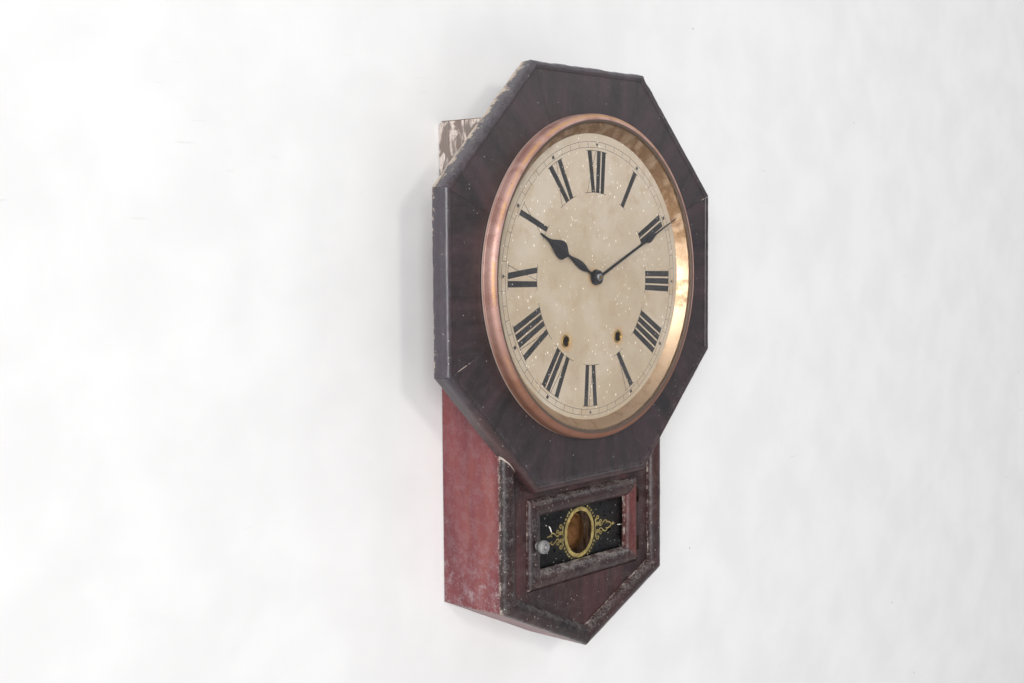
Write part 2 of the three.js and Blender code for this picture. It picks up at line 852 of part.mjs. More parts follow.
// The dial's glass, and the conical brass ring behind it that closes the space round the dial.
function addDialGlass() {
  const front = bezel.glassSeatDepth - seat;
  const back = front - dialGlassThickness;
  const edge = bezelBore - seat;
  addPart("dial_glass", slab(circle(centreAt, edge, sides.ring), back, front), finishes.clearGlass);
  const flangeFront = back - seat;
  const flangeBack = flangeFront - reflector.sheet;
  const start = dialFront + seat;
  const innerRadius = dial.radius - reflector.overDial;
  const outerRadius = bezelLip - reflector.insideLip;
  const profile = [
    [innerRadius, start],
    [outerRadius, flangeFront],
    [edge, flangeFront],
    [edge, flangeBack],
    [outerRadius + reflector.foldedEdge, flangeBack],
    [innerRadius + reflector.sheet, start],
    [innerRadius, start],
  ];
  addPart("reflector_ring", turned(centreAt, profile, sides.ring), finishes.brass);
}

// A flat hand on its boss, mirrored about its own length and turned clockwise from twelve.
function addHand(name, hand, boreRadius) {
  const turn = (fullTurn * hand.turnDegrees) / 360;
  const right = hand.outlineShares.map(([along, across]) => [across * hand.halfWidth, along * hand.length]);
  const left = right.map(([x, z]) => [-x, z]).reverse();
  const outline = [...right, ...left].map(([x, z]) => {
    const turnedX = x * Math.cos(turn) + z * Math.sin(turn);
    return new THREE.Vector2(turnedX, z * Math.cos(turn) - x * Math.sin(turn));
  });
  const front = hand.depth + hand.thickness;
  const blade = slab(outline, hand.depth, front);
  const boss = disc(centreAt, hand.bossRadius, hand.depth - hand.bossRise, front, sides.disc);
  const bore = disc(centreAt, boreRadius, hand.depth - overrun, front + overrun, sides.disc);
  addPart(name, cutBy(joined(blade, boss), bore), finishes.handBlack);
}

function addHandNut() {
  const back = minuteHand.depth + minuteHand.thickness + seat;
  const hole = circle(centreAt, handArbor.radius + running, sides.disc);
  const nut = slab(circle(centreAt, handNut.radius, handNut.flats), back, back + handNut.thickness, [hole]);
  addPart("hand_nut", nut, finishes.brass);
}

// The point at given distances from two others, on the left of the line between them.
function meetingPoint(from, fromDistance, to, toDistance) {
  const dx = to.x - from.x;
  const dz = to.z - from.z;
  const span = Math.hypot(dx, dz);
  const along = (span * span + fromDistance * fromDistance - toDistance * toDistance) / (2 * span);
  const across = Math.sqrt(fromDistance * fromDistance - along * along);
  return {
    x: from.x + (along * dx - across * dz) / span,
    z: from.z + (along * dz + across * dx) / span,
  };
}

function pitchRadius(gear) {
  return (gear.teeth * gear.module) / 2;
}

function centreDistance(wheel, pinion) {
  return pitchRadius(wheel) + pitchRadius(pinion);
}

function directionTo(from, to) {
  return Math.atan2(to.z - from.z, to.x - from.x);
}

const timeGreatAt = { x: windingArbor.timeX, z: windingArbor.z };
const strikeGreatAt = { x: windingArbor.strikeX, z: windingArbor.z };
const timeSecondAt = meetingPoint(
  centreAt,
  centreDistance(gears.second, gears.centrePinion),
  timeGreatAt,
  centreDistance(gears.great, gears.secondPinion),
);
const thirdAt = meetingPoint(
  escapeAt,
  centreDistance(gears.third, gears.escapePinion),
  centreAt,
  centreDistance(gears.centre, gears.thirdPinion),
);

// A toothed outline with one tooth on the given line.
function toothedOutline(at, gear, facing, shares) {
  const pitch = fullTurn / gear.teeth;
  const tip = pitchRadius(gear) + shares.addendum * gear.module;
  const root = pitchRadius(gear) - shares.dedendum * gear.module;
  return Array.from({ length: gear.teeth }, (_, tooth) => facing + tooth * pitch).flatMap((middle) => [
    polar(tip, middle, at),
    polar(root, middle + pitch / 2, at),
  ]);
}

// The windows between a wheel's spokes.
function crossings(at, inner, outer, spokeHalfWidth) {
  const arc = (radius, spoke, count) => {
    const margin = spokeHalfWidth / radius;
    const start = (fullTurn * spoke) / wheelForm.spokes + margin;
    const span = fullTurn / wheelForm.spokes - 2 * margin;
    return Array.from({ length: count + 1 }, (_, i) => polar(radius, start + (span * i) / count, at));
  };
  return Array.from({ length: wheelForm.spokes }, (_, spoke) => [
    ...arc(outer, spoke, steps.window),
    ...arc(inner, spoke, 1).reverse(),
  ]);
}

function spokedWheel(at, gear, meets, back, thickness) {
  const outline = toothedOutline(at, gear, directionTo(at, meets), wheelToothShares);
  const outer = pitchRadius(gear) - wheelToothShares.dedendum * gear.module - wheelForm.rim;
  const holes = crossings(at, wheelForm.windowInnerRadius, outer, wheelForm.spokeHalfWidth);
  return slab(outline, back, back + thickness, holes);
}

// A pinion of round trundles between two discs, with a gap facing the wheel that it meets.
function lanternPinion(at, gear, meets, wheelBack, wheelThickness) {
  const radius = pitchRadius(gear);
  const back = wheelBack - lantern.reach;
  const front = wheelBack + wheelThickness + lantern.reach;
  const facing = directionTo(at, meets) + fullTurn / gear.teeth / 2;
  const trundles = Array.from({ length: gear.teeth }, (_, i) => {
    const spot = polar(radius, facing + (fullTurn * i) / gear.teeth, at);
    const centre = { x: spot.x, z: spot.y };
    return disc(centre, lantern.trundleRadius, back - sink, front + sink, sides.trundle);
  });
  return joined(
    disc(at, radius + lantern.rim, back - lantern.shroud, back, sides.post),
    disc(at, radius + lantern.rim, front, front + lantern.shroud, sides.post),
    ...trundles,
  );
}

const plateInnerBack = plates.back + plates.thickness;
const plateInnerFront = plateInnerBack + plates.gap;
const plateFront = plateInnerFront + plates.thickness;

// An arbor with thin pivots that end at the outer faces of the plates, or further forward.
function arborRod(at, radius = arbor.radius, pivotRadius = arbor.pivotRadius, frontEnd = plateFront) {
  const back = plateInnerBack + arbor.endShake;
  const front = plateInnerFront - arbor.endShake;
  const profile = [
    [0, plates.back],
    [arbor.pivotRadius, plates.back],
    [arbor.pivotRadius, back],
    [radius, back],
    [radius, front],
    [pivotRadius, front],
    [pivotRadius, frontEnd],
    [0, frontEnd],
  ];
  return turned(at, profile, sides.shaft);
}

function addGreatWheel(name, at, meets) {
  const blank = spokedWheel(at, gears.great, meets, planes.great, wheelForm.greatThickness);
  const front = planes.great + wheelForm.greatThickness;
  const bore = disc(at, windingArbor.radius + running, planes.great - overrun, front + overrun, sides.disc);
  addPart(name, cutBy(blank, bore), finishes.brass);
}

// A winding arbor with its collar in front of the great wheel and its square for the key.
function addWindingArbor(name, at) {
  const { radius, pivotRadius, squareHalf, squareLength, collarRadius, collarLength } = windingArbor;
  const shoulder = windingArbor.front - squareLength;
  const start = plateInnerBack + arbor.endShake;
  const collar = planes.great + wheelForm.greatThickness + seat;
  const profile = [
    [0, plates.back],
    [pivotRadius, plates.back],
    [pivotRadius, start],
    [radius, start],
    [radius, collar],
    [collarRadius, collar],
    [collarRadius, collar + collarLength],
    [radius, collar + collarLength],
    [radius, shoulder],
    [0, shoulder],
  ];
  const square = block(
    at.x - squareHalf,
    at.x + squareHalf,
    at.z - squareHalf,
    at.z + squareHalf,
    shoulder - sink,
    windingArbor.front,
  );
  addPart(name, joined(turned(at, profile, sides.post), square), finishes.steel);
}

// Prints the least gap between parts of a winding that are more than half a turn apart.
function printLeastGap(name, points, stepsPerTurn, thickness) {
  const gaps = points.flatMap((point, i) =>
    points.slice(i + stepsPerTurn / 2).map((other) => point.distanceTo(other) - thickness),
  );
  console.log(`${name}: least gap to itself ${Math.min(...gaps).toFixed(2)} mm`);
}

// A flat strip wound from its arbor outwards, with a straight end that reaches a pillar.
function addMainspring(name, at, pillar, winding) {
  const { outerRadius, turns, strip, stepsPerTurn } = mainspring;
  const innerRadius = windingArbor.radius + seat + strip / 2;
  const reach = Math.hypot(pillar.x - at.x, pillar.z - at.z);
  const outerAngle = directionTo(at, pillar) - winding * Math.acos(outerRadius / reach);
  const tail = Math.sqrt(reach * reach - outerRadius * outerRadius) - plates.pillarRadius - seat;
  const edge = (offset) => {
    const wound = Array.from({ length: turns * stepsPerTurn + 1 }, (_, i) => {
      const turn = i / stepsPerTurn;
      const radius = innerRadius + ((outerRadius - innerRadius) * turn) / turns;
      return polar(radius + offset, outerAngle - winding * fullTurn * (turns - turn), at);
    });
    const last = wound[wound.length - 1];
    return [...wound, polar(tail, outerAngle + winding * quarterTurn, { x: last.x, z: last.y })];
  };
  printLeastGap(name, edge(0), stepsPerTurn, strip);
  const outline = [...edge(strip / 2), ...edge(-strip / 2).reverse()];
  addPart(name, slab(outline, planes.spring, planes.spring + mainspring.width), finishes.blueSteel);
}

const pillarLeft = plates.left + plates.pillarInset;
const pillarRight = plates.right - plates.pillarInset;
const pillarHigh = plates.top - plates.pillarInset;
const pillarLow = plates.bottom + plates.pillarInset;

function addTimeTrain() {
  const { greatThickness, secondThickness, thickness } = wheelForm;
  addGreatWheel("time_great_wheel", timeGreatAt, timeSecondAt);
  addWindingArbor("time_winding_arbor", timeGreatAt);
  addMainspring("time_mainspring", timeGreatAt, { x: pillarRight, z: pillarLow }, -1);
  const second = joined(
    spokedWheel(timeSecondAt, gears.second, centreAt, planes.second, secondThickness),
    lanternPinion(timeSecondAt, gears.secondPinion, timeGreatAt, planes.great, greatThickness),
    arborRod(timeSecondAt),
  );
  addPart("time_second_wheel", second, finishes.brass);
  const third = joined(
    spokedWheel(thirdAt, gears.third, escapeAt, planes.third, thickness),
    lanternPinion(thirdAt, gears.thirdPinion, centreAt, planes.centre, thickness),
    arborRod(thirdAt),
  );
  addPart("third_wheel", third, finishes.brass);
}

// The centre arbor, which carries the centre wheel, the cannon pinion and the minute hand.
function addCentreArbor() {
  const { secondThickness, thickness } = wheelForm;
  const gapFacing = directionTo(centreAt, minuteWheelAt) + fullTurn / gears.cannon.teeth / 2;
  const cannon = toothedOutline(centreAt, gears.cannon, gapFacing, leafShares);
  const whole = joined(
    spokedWheel(centreAt, gears.centre, thirdAt, planes.centre, thickness),
    lanternPinion(centreAt, gears.centrePinion, timeSecondAt, planes.second, secondThickness),
    slab(cannon, planes.minute, planes.minute + thickness),
    arborRod(centreAt, handArbor.radius, handArbor.radius, handArbor.front),
  );
  addPart("centre_arbor", whole, finishes.brass);
}

// The escape wheel runs in front of the plates, with teeth that lean one way.
function addEscapeWheel() {
  const { teeth, radius, toothHeight, leanShare, rim, windowInnerRadius, spokeHalfWidth } = escapement;
  const pitch = fullTurn / teeth;
  const outline = Array.from({ length: teeth }, (_, tooth) => tooth * pitch).flatMap((start) => [
    polar(radius - toothHeight, start, escapeAt),
    polar(radius, start + pitch * leanShare, escapeAt),
  ]);
  const holes = crossings(escapeAt, windowInnerRadius, radius - toothHeight - rim, spokeHalfWidth);
  const front = planes.escape + wheelForm.thickness;
  const whole = joined(
    slab(outline, planes.escape, front, holes),
    lanternPinion(escapeAt, gears.escapePinion, thirdAt, planes.third, wheelForm.thickness),
    arborRod(escapeAt, arbor.radius, arbor.pivotRadius, front),
  );
  addPart("escape_wheel", whole, finishes.brass);
}

// The minute wheel on its stud, and the hour wheel with the pipe that carries the hour hand.
function addMotionWork() {
  const { thickness } = wheelForm;
  const minuteFront = planes.minute + thickness;
  const hourFront = planes.hour + thickness;
  const toCentre = directionTo(minuteWheelAt, centreAt);
  const gapFacing = toCentre + fullTurn / gears.minutePinion.teeth / 2;
  const wheelTeeth = toothedOutline(minuteWheelAt, gears.minute, toCentre, wheelToothShares);
  const leaves = toothedOutline(minuteWheelAt, gears.minutePinion, gapFacing, leafShares);
  const minute = joined(
    slab(wheelTeeth, planes.minute, minuteFront),
    slab(leaves, minuteFront - sink, hourFront),
  );
  const boreRadius = stud.radius + running;
  const studBore = disc(minuteWheelAt, boreRadius, planes.minute - overrun, planes.pendulum, sides.post);
  addPart("minute_wheel", cutBy(minute, studBore), finishes.brass);
  const fromCentre = directionTo(centreAt, minuteWheelAt);
  const hourTeeth = toothedOutline(centreAt, gears.hour, fromCentre, wheelToothShares);
  const pipe = disc(centreAt, hourPipe.radius, planes.hour, hourHand.depth + hourHand.thickness, sides.disc);
  const bore = disc(centreAt, hourPipe.bore, planes.hour - overrun, minuteHand.depth, sides.disc);
  addPart("hour_wheel", cutBy(joined(slab(hourTeeth, planes.hour, hourFront), pipe), bore), finishes.brass);
}

function addStrikeTrain() {
  const { greatThickness, secondThickness, thickness } = wheelForm;
  addGreatWheel("strike_great_wheel", strikeGreatAt, strikeSecondAt);
  addWindingArbor("strike_winding_arbor", strikeGreatAt);
  addMainspring("strike_mainspring", strikeGreatAt, { x: pillarLeft, z: pillarLow }, 1);
  const second = joined(
    spokedWheel(strikeSecondAt, gears.strikeSecond, strikeThirdAt, planes.second, secondThickness),
    lanternPinion(strikeSecondAt, gears.secondPinion, strikeGreatAt, planes.great, greatThickness),
    arborRod(strikeSecondAt),
  );
  addPart("strike_second_wheel", second, finishes.brass);
  const third = joined(
    spokedWheel(strikeThirdAt, gears.strikeThird, fly, planes.strikeThird, thickness),
    lanternPinion(strikeThirdAt, gears.strikeThirdPinion, strikeSecondAt, planes.second, secondThickness),
    arborRod(strikeThirdAt),
  );
  addPart("strike_third_wheel", third, finishes.brass);
}

// The fly, whose flat vane slows the strike by its drag in the air.
function addFly() {
  const { halfSpan, halfSheet, hubRadius, back, front } = fly;
  const whole = joined(
    disc(fly, hubRadius, back, front, sides.post),
    block(fly.x - halfSpan, fly.x + halfSpan, fly.z - halfSheet, fly.z + halfSheet, back, front),
    lanternPinion(fly, gears.flyPinion, strikeThirdAt, planes.strikeThird, wheelForm.thickness),
    arborRod(fly),
  );
  addPart("fly", whole, finishes.brass);
}

// The sheet of a plate with its window and the holes that its arbors turn in.
function plateSheet(back, windingHoleRadius) {
  const arbors = [timeSecondAt, thirdAt, strikeSecondAt, strikeThirdAt, fly, escapeAt, hammer];
  const holes = [
    roundedRectangle(plateWindow),
    circle(centreAt, handArbor.radius + running, sides.disc),
    ...arbors.map((at) => circle(at, arbor.pivotRadius + running, sides.pin)),
    ...[timeGreatAt, strikeGreatAt].map((at) => circle(at, windingHoleRadius, sides.disc)),
  ];
  return slab(roundedRectangle(plates), back, back + plates.thickness, holes);
}

// The back plate carries the four pillars and their feet.
function addBackPlate() {
  const foot = backboard.thickness + seat;
  const footFront = plates.back + sink;
  const profile = [
    [0, foot],
    [plates.footRadius, foot],
    [plates.footRadius, footFront],
    [plates.pillarRadius, footFront],
    [plates.pillarRadius, plateInnerFront - seat],
    [0, plateInnerFront - seat],
  ];
  const pillars = [pillarLeft, pillarRight].flatMap((x) =>
    [pillarHigh, pillarLow].map((z) => turned({ x, z }, profile, sides.post)),
  );
  const sheet = plateSheet(plates.back, windingArbor.pivotRadius + running);
  addPart("movement_back_plate", joined(sheet, ...pillars), finishes.brass);
}

// The front plate carries the cock of the pendulum and the studs of the verge and the minute wheel.
function addFrontPlate() {
  const start = plateInnerFront;
  const minuteStudFront = planes.hour + wheelForm.thickness + stud.reach;
  const vergeStudFront = planes.escape + verge.width + verge.hubRise;
  const whole = joined(
    plateSheet(start, windingArbor.radius + running),
    disc(minuteWheelAt, stud.radius, start, minuteStudFront, sides.post),
    disc({ x: 0, z: pendulum.pivot }, stud.radius, start, vergeStudFront, sides.post),
    block(-cock.halfWidth, cock.halfWidth, cock.bottom, cock.top, start, cock.front),
  );
  addPart("movement_front_plate", whole, finishes.brass);
}

// The strap over the escape wheel, with the wire fork that reaches the pendulum's rod.
function addVerge() {
  const reach = escapement.radius + verge.drop;
  const span = (fullTurn * verge.spanDegrees) / 360;
  const across = reach * Math.sin(span);
  const palletZ = escapeAt.z + reach * Math.cos(span);
  const shoulder = across * verge.shoulderShare;
  const under = pendulum.pivot - verge.strapRise;
  const outline = [
    new THREE.Vector2(-across - verge.strap, palletZ),
    new THREE.Vector2(-across, palletZ),
    new THREE.Vector2(-shoulder, under),
    new THREE.Vector2(shoulder, under),
    new THREE.Vector2(across, palletZ),
    new THREE.Vector2(across + verge.strap, palletZ),
    new THREE.Vector2(shoulder + verge.strap, pendulum.pivot),
    new THREE.Vector2(-shoulder - verge.strap, pendulum.pivot),
  ];
  const back = planes.escape - (verge.width - wheelForm.thickness) / 2;
  const front = back + verge.width;
  const pivot = { x: 0, z: pendulum.pivot };
  const hub = disc(pivot, verge.hubRadius, back, front + verge.hubRise, sides.post);
  const bore = disc(pivot, stud.radius + running, back - overrun, front + overrun, sides.post);
  const half = verge.crutchHalf;
  const forkZ = pendulum.pivot - verge.forkBelowPivot;
  const gap = pendulum.rodRadius + running;
  const wireFront = front + 2 * half;
  const crutch = block(-half, half, forkZ - half, pendulum.pivot - verge.hubRadius + half, front, wireFront);
  const bridge = block(-gap - 2 * half, gap + 2 * half, forkZ - half, forkZ + half, front, wireFront);
  const prongs = [-gap - 2 * half, gap].map((x) =>
    block(x, x + 2 * half, forkZ - half, forkZ + half, front, planes.pendulum + verge.forkReach),
  );
  const body = cutBy(joined(slab(outline, back, front), hub), bore);
  addPart("verge", joined(body, crutch, bridge, ...prongs), finishes.steel);
}

const bobAt = { x: 0, z: pendulum.pivot - pendulum.length };

// The suspension spring, the rod and the rating nut under the bob.
function addPendulumRod() {
  const { rodRadius, nutRadius, nutLength, tail, springHalfThickness, springHalfWidth } = pendulum;
  const springBottom = pendulum.pivot - pendulum.springBelowPivot;
  const rodTop = springBottom + 2 * springHalfWidth;
  const nutTop = bobAt.z - pendulum.bobRadius - seat;
  const profile = [
    [0, nutTop - tail],
    [rodRadius, nutTop - tail],
    [rodRadius, nutTop - nutLength],
    [nutRadius, nutTop - nutLength],
    [nutRadius, nutTop],
    [rodRadius, nutTop],
    [rodRadius, rodTop],
    [0, rodTop],
  ];
  const spring = block(
    -springHalfThickness,
    springHalfThickness,
    springBottom,
    cock.bottom - seat,
    planes.pendulum - springHalfWidth,
    planes.pendulum + springHalfWidth,
  );
  const rod = turnedUpright(0, planes.pendulum, profile, sides.shaft);
  addPart("pendulum_rod", joined(spring, rod), finishes.steel);
}

// The lens-shaped bob with the hole that its rod passes through.
function addPendulumBob() {
  const { bobRadius, bobHalfThickness, bobHalfRim, bobRoundShares } = pendulum;
  const round = bobRoundShares.map((share) => [
    bobRadius * share,
    bobHalfRim + (bobHalfThickness - bobHalfRim) * (1 - share * share),
  ]);
  const half = [...round, [bobRadius, bobHalfRim]];
  const profile = [
    ...half.map(([radius, rise]) => [radius, planes.pendulum - rise]),
    ...half.reverse().map(([radius, rise]) => [radius, planes.pendulum + rise]),
  ];
  const bore = uprightRod(
    0,
    planes.pendulum,
    pendulum.rodRadius + running,
    bobAt.z - bobRadius - overrun,
    bobAt.z + bobRadius + overrun,
    sides.post,
  );
  addPart("pendulum_bob", cutBy(turned(bobAt, profile, sides.bob), bore), finishes.brass);
}

// The gong is one wire, wound flat from the post of its base and straight at both ends.
function addGongCoil() {
  const { innerRadius, outerRadius, turns, wireRadius, stepsPerTurn } = gong;
  const wound = Array.from({ length: turns * stepsPerTurn + 1 }, (_, i) => {
    const turn = i / stepsPerTurn;
    const radius = innerRadius + ((outerRadius - innerRadius) * turn) / turns;
    const spot = polar(radius, fullTurn * turn, gong);
    return new THREE.Vector3(spot.x, -gong.depth, spot.y);
  });
  printLeastGap("gong_coil", wound, stepsPerTurn, 2 * wireRadius);
  const straight = (end, inside) => {
    const along = end.clone().sub(inside).setLength(2 * wireRadius);
    return [end.clone().add(along), end.clone().addScaledVector(along, 2)];
  };
  const start = straight(wound[0], wound[1]).reverse();
  const finish = straight(wound[wound.length - 1], wound[wound.length - 2]);
  const path = new THREE.CatmullRomCurve3([...start, ...wound, ...finish], false, "centripetal");
  addPart("gong_coil", wire(path, wireRadius, sides.wire, turns * stepsPerTurn), finishes.blueSteel);
}

function addGongBase() {
  const foot = backboard.thickness + seat;
  const postRadius = gong.innerRadius - gong.wireRadius - seat;
  const cap = gong.depth + gong.wireRadius;
  const profile = [
    [0, foot],
    [gong.baseRadius, foot],
    [gong.baseRadius, foot + gong.baseEdge],
    [postRadius, foot + gong.baseHeight],
    [postRadius, cap],
    [gong.capRadius, cap + gong.capHeight],
    [0, cap + gong.capHeight],
  ];
  addPart("gong_base", turned(gong, profile, sides.disc), finishes.castIron);
}

// The hammer's wire and head on their own arbor.
function addHammer() {
  const { collarRadius, collarHalfLength, headRadius, headHalfLength, depth } = hammer;
  const top = new THREE.Vector3(hammer.x, -depth, hammer.z);
  const end = new THREE.Vector3(hammer.headX, -depth, hammer.headZ);
  const head = { x: hammer.headX, z: hammer.headZ };
  const whole = joined(
    arborRod(hammer),
    disc(hammer, collarRadius, depth - collarHalfLength, depth + collarHalfLength, sides.post),
    wire(new THREE.LineCurve3(top, end), hammer.wireRadius, sides.wire, 1),
    disc(head, headRadius, depth - headHalfLength, depth + headHalfLength, sides.disc),
  );
  addPart("hammer", whole, finishes.steel);
}

addTrunkBoards();
addBackboard();
addOctagon();
addDropPanel();
addDropMouldings();
addDoorFrame();
addDoorKnob();
addDoorHinge("door_hinge_upper", hingeHeights[0]);
addDoorHinge("door_hinge_lower", hingeHeights[1]);
addDial();
addBezel();
addBezelHinge();
addDialGlass();
addHand("hour_hand", hourHand, hourPipe.radius + running);
addHand("minute_hand", minuteHand, handArbor.radius + running);
addHandNut();
addBackPlate();
addFrontPlate();
addTimeTrain();
addCentreArbor();
addEscapeWheel();
addMotionWork();
addStrikeTrain();
addFly();
addVerge();
addPendulumRod();
addPendulumBob();
addGongCoil();
addGongBase();
addHammer();

export default clock;
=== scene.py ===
"""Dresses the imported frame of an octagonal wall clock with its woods, metals, dial and glass.

Sizes are in millimetres and become metres where a mesh is made. The wall is the plane
y = 0, the front faces -Y, and a depth is a distance forward from the wall.
"""

from __future__ import annotations

import logging
import math
from collections.abc import Callable, Iterable, Sequence
from dataclasses import dataclass, field, replace
from enum import Enum

import bmesh
import bpy
import numpy as np
from mathutils import Matrix, Vector, noise


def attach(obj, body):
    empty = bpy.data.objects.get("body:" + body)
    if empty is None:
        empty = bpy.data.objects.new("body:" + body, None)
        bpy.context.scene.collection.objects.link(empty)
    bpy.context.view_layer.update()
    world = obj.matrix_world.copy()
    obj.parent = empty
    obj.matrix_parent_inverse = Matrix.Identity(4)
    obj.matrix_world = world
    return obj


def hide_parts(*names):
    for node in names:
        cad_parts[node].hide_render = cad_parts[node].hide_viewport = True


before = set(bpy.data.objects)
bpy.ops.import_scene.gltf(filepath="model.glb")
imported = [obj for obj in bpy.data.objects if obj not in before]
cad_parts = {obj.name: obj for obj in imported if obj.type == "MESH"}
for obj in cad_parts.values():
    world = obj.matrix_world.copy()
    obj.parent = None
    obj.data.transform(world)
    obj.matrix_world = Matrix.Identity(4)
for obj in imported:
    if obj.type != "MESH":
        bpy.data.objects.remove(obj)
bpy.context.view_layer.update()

LOG = logging.getLogger("clock")
MM = 0.001  # one millimetre, in metres
TURN = 2 * math.pi
SEAM = 0.15  # the gap on each side of a mitred joint, in millimetres
SEED = 7  # the start of the noise that batters worn edges
WELD = 2e-6  # the distance, in metres, under which two points become one
LEAF = 0.08  # the thickness of gilding, in millimetres
EDGE_ANGLES = (0, 22, 45, 68, 90)  # the steps of a rounded edge, in degrees

Colour = tuple[float, float, float]
Flat = tuple[float, float]
Row = tuple[float, float, float]
Socket = bpy.types.NodeSocket
Material = bpy.types.Material

CENTRE: Flat = (0.0, 0.0)


def tint(code: str) -> Colour:
    """Turns a six-digit colour code into linear red, green and blue.

    Args:
        code: the colour as three two-digit hexadecimal numbers.

    Returns:
        The three linear shares of light.
    """
    shares = [int(code[i : i + 2], 16) / 255 for i in (0, 2, 4)]
    return tuple(s / 12.92 if s <= 0.04045 else ((s + 0.055) / 1.055) ** 2.4 for s in shares)


class Graph:
    """The node graph of one material in the making."""

    def __init__(self, name: str) -> None:
        """Starts a material with a plain surface shader.

        Args:
            name: the material's name.
        """
        self.material = bpy.data.materials.new(name)
        self.material.use_nodes = True
        self.tree = self.material.node_tree
        self.tree.nodes.clear()
        self.surface = self.tree.nodes.new("ShaderNodeBsdfPrincipled")
        self.end = self.tree.nodes.new("ShaderNodeOutputMaterial")
        self.tree.links.new(self.surface.outputs[0], self.end.inputs[0])

    def feed(self, socket: Socket, value: object) -> None:
        """Links a socket to another, or sets its own value.

        Args:
            socket: the input that takes the value.
            value: an output socket, a number or a colour.
        """
        if isinstance(value, bpy.types.NodeSocket):
            self.tree.links.new(value, socket)
        elif isinstance(value, tuple) and len(socket.default_value) > len(value):
            socket.default_value = (*value, 1.0)
        else:
            socket.default_value = value

    def node(self, kind: str, inputs: dict, **settings: object) -> bpy.types.Node:
        """Adds a node.

        Args:
            kind: the node's type without its common prefix.
            inputs: values or sockets by input name or place.
            settings: the node's own settings.

        Returns:
            The new node.
        """
        made = self.tree.nodes.new("ShaderNode" + kind)
        for key, value in settings.items():
            setattr(made, key, value)
        for key, value in inputs.items():
            self.feed(made.inputs[key], value)
        return made

    def calc(self, operation: str, a: object, b: object = 0.0) -> Socket:
        """Returns the result of one operation on one or two values."""
        return self.node("Math", {0: a, 1: b}, operation=operation).outputs[0]

    def plus(self, a: object, b: object) -> Socket:
        """Returns the sum of two values."""
        return self.calc("ADD", a, b)

    def times(self, first: object, *others: object) -> Socket:
        """Returns the product of some values."""
        for other in others:
            first = self.calc("MULTIPLY", first, other)
        return first

    def total(self, *terms: tuple[Socket, float]) -> Socket:
        """Returns the sum of values, each times its own weight."""
        result: Socket | None = None
        for value, weight in terms:
            part = self.times(value, weight)
            result = part if result is None else self.plus(result, part)
        return result

    def off(self, value: object, middle: float) -> Socket:
        """Returns how far a value stands from a middle one, on either side."""
        return self.calc("ABSOLUTE", self.plus(value, -middle))

    def span(self, x: Socket, z: Socket, centre: Flat = CENTRE) -> Socket:
        """Returns the distance, seen from the front, from a centre given in millimetres."""
        shifts = [self.plus(value, -middle * MM) for value, middle in zip((x, z), centre)]
        return self.calc("SQRT", self.plus(*(self.times(shift, shift) for shift in shifts)))

    def mix(self, share: object, a: object, b: object) -> Socket:
        """Returns colour a changed towards colour b by a share."""
        return self.node("Mix", {0: share, 6: a, 7: b}, data_type="RGBA").outputs[2]

    def over(self, colour: object, share: Socket, weight: float, code: str) -> Socket:
        """Returns a colour changed towards a coded one by a weighted share."""
        return self.mix(self.times(share, weight), colour, tint(code))

    def place(self) -> Socket:
        """Returns the surface point in the piece's own frame."""
        return self.node("TexCoord", {}).outputs["Object"]

    def value_of(self, name: str) -> Socket:
        """Returns a number that the mesh holds at each point."""
        return self.node("Attribute", {}, attribute_name=name).outputs["Fac"]

    def vector_of(self, name: str) -> Socket:
        """Returns a vector that the mesh holds at each point."""
        return self.node("Attribute", {}, attribute_name=name).outputs["Vector"]

    def parts_of(self, vector: Socket) -> tuple[Socket, Socket, Socket]:
        """Returns the three parts of a vector."""
        made = self.node("SeparateXYZ", {0: vector})
        return made.outputs[0], made.outputs[1], made.outputs[2]

    def stretched(self, where: Socket, by: tuple[float, float, float]) -> Socket:
        """Returns coordinates scaled by a factor along each axis."""
        return self.node("Mapping", {"Vector": where, "Scale": by}).outputs[0]

    def cloud(self, where: Socket, size: float, detail: float = 4.0, warp: float = 0.0) -> Socket:
        """Returns soft noise whose blotches are about size millimetres wide."""
        inputs = {"Vector": where, "Scale": 1 / (size * MM), "Detail": detail, "Distortion": warp}
        return self.node("TexNoise", inputs).outputs["Fac"]

    def step(self, value: object, low: float, high: float) -> Socket:
        """Returns a smooth rise from 0 at low to 1 at high, or a fall where high is lower."""
        inputs = {"Value": value, "From Min": low, "From Max": high}
        return self.node("MapRange", inputs, interpolation_type="SMOOTHSTEP").outputs[0]

    def ramp(self, value: Socket, *stops: tuple[float, str]) -> Socket:
        """Returns a colour picked by a value from stops, each a place and a colour code."""
        made = self.node("ValToRGB", {0: value})
        band = made.color_ramp
        while len(band.elements) < len(stops):
            band.elements.new(0.5)
        for element, (where, code) in zip(band.elements, stops):
            element.position = where
            element.color = (*tint(code), 1.0)
        return made.outputs[0]

    def specks(self, where: Socket, spacing: float, radius: float, kept: float) -> Socket:
        """Returns scattered round spots.

        Args:
            where: the coordinates, in metres.
            spacing: the usual distance between spots, in millimetres.
            radius: the size of a spot, as a share of the spacing.
            kept: the share of the spots that show.

        Returns:
            A socket that is 1 inside a spot and 0 elsewhere.
        """
        cells = self.node("TexVoronoi", {"Vector": where, "Scale": 1 / (spacing * MM)})
        core = 0.45 * radius
        spot = self.step(cells.outputs["Distance"], radius, core)
        pick = self.node("SeparateColor", {0: cells.outputs["Color"]}).outputs[0]
        return self.times(spot, self.calc("GREATER_THAN", pick, 1 - kept))

    def raised(self, height: Socket, distance: float, strength: float = 1.0) -> None:
        """Turns a height into relief on the surface, with its full step in millimetres."""
        inputs = {"Height": height, "Distance": distance * MM, "Strength": strength}
        made = self.node("Bump", inputs)
        self.tree.links.new(made.outputs[0], self.surface.inputs["Normal"])

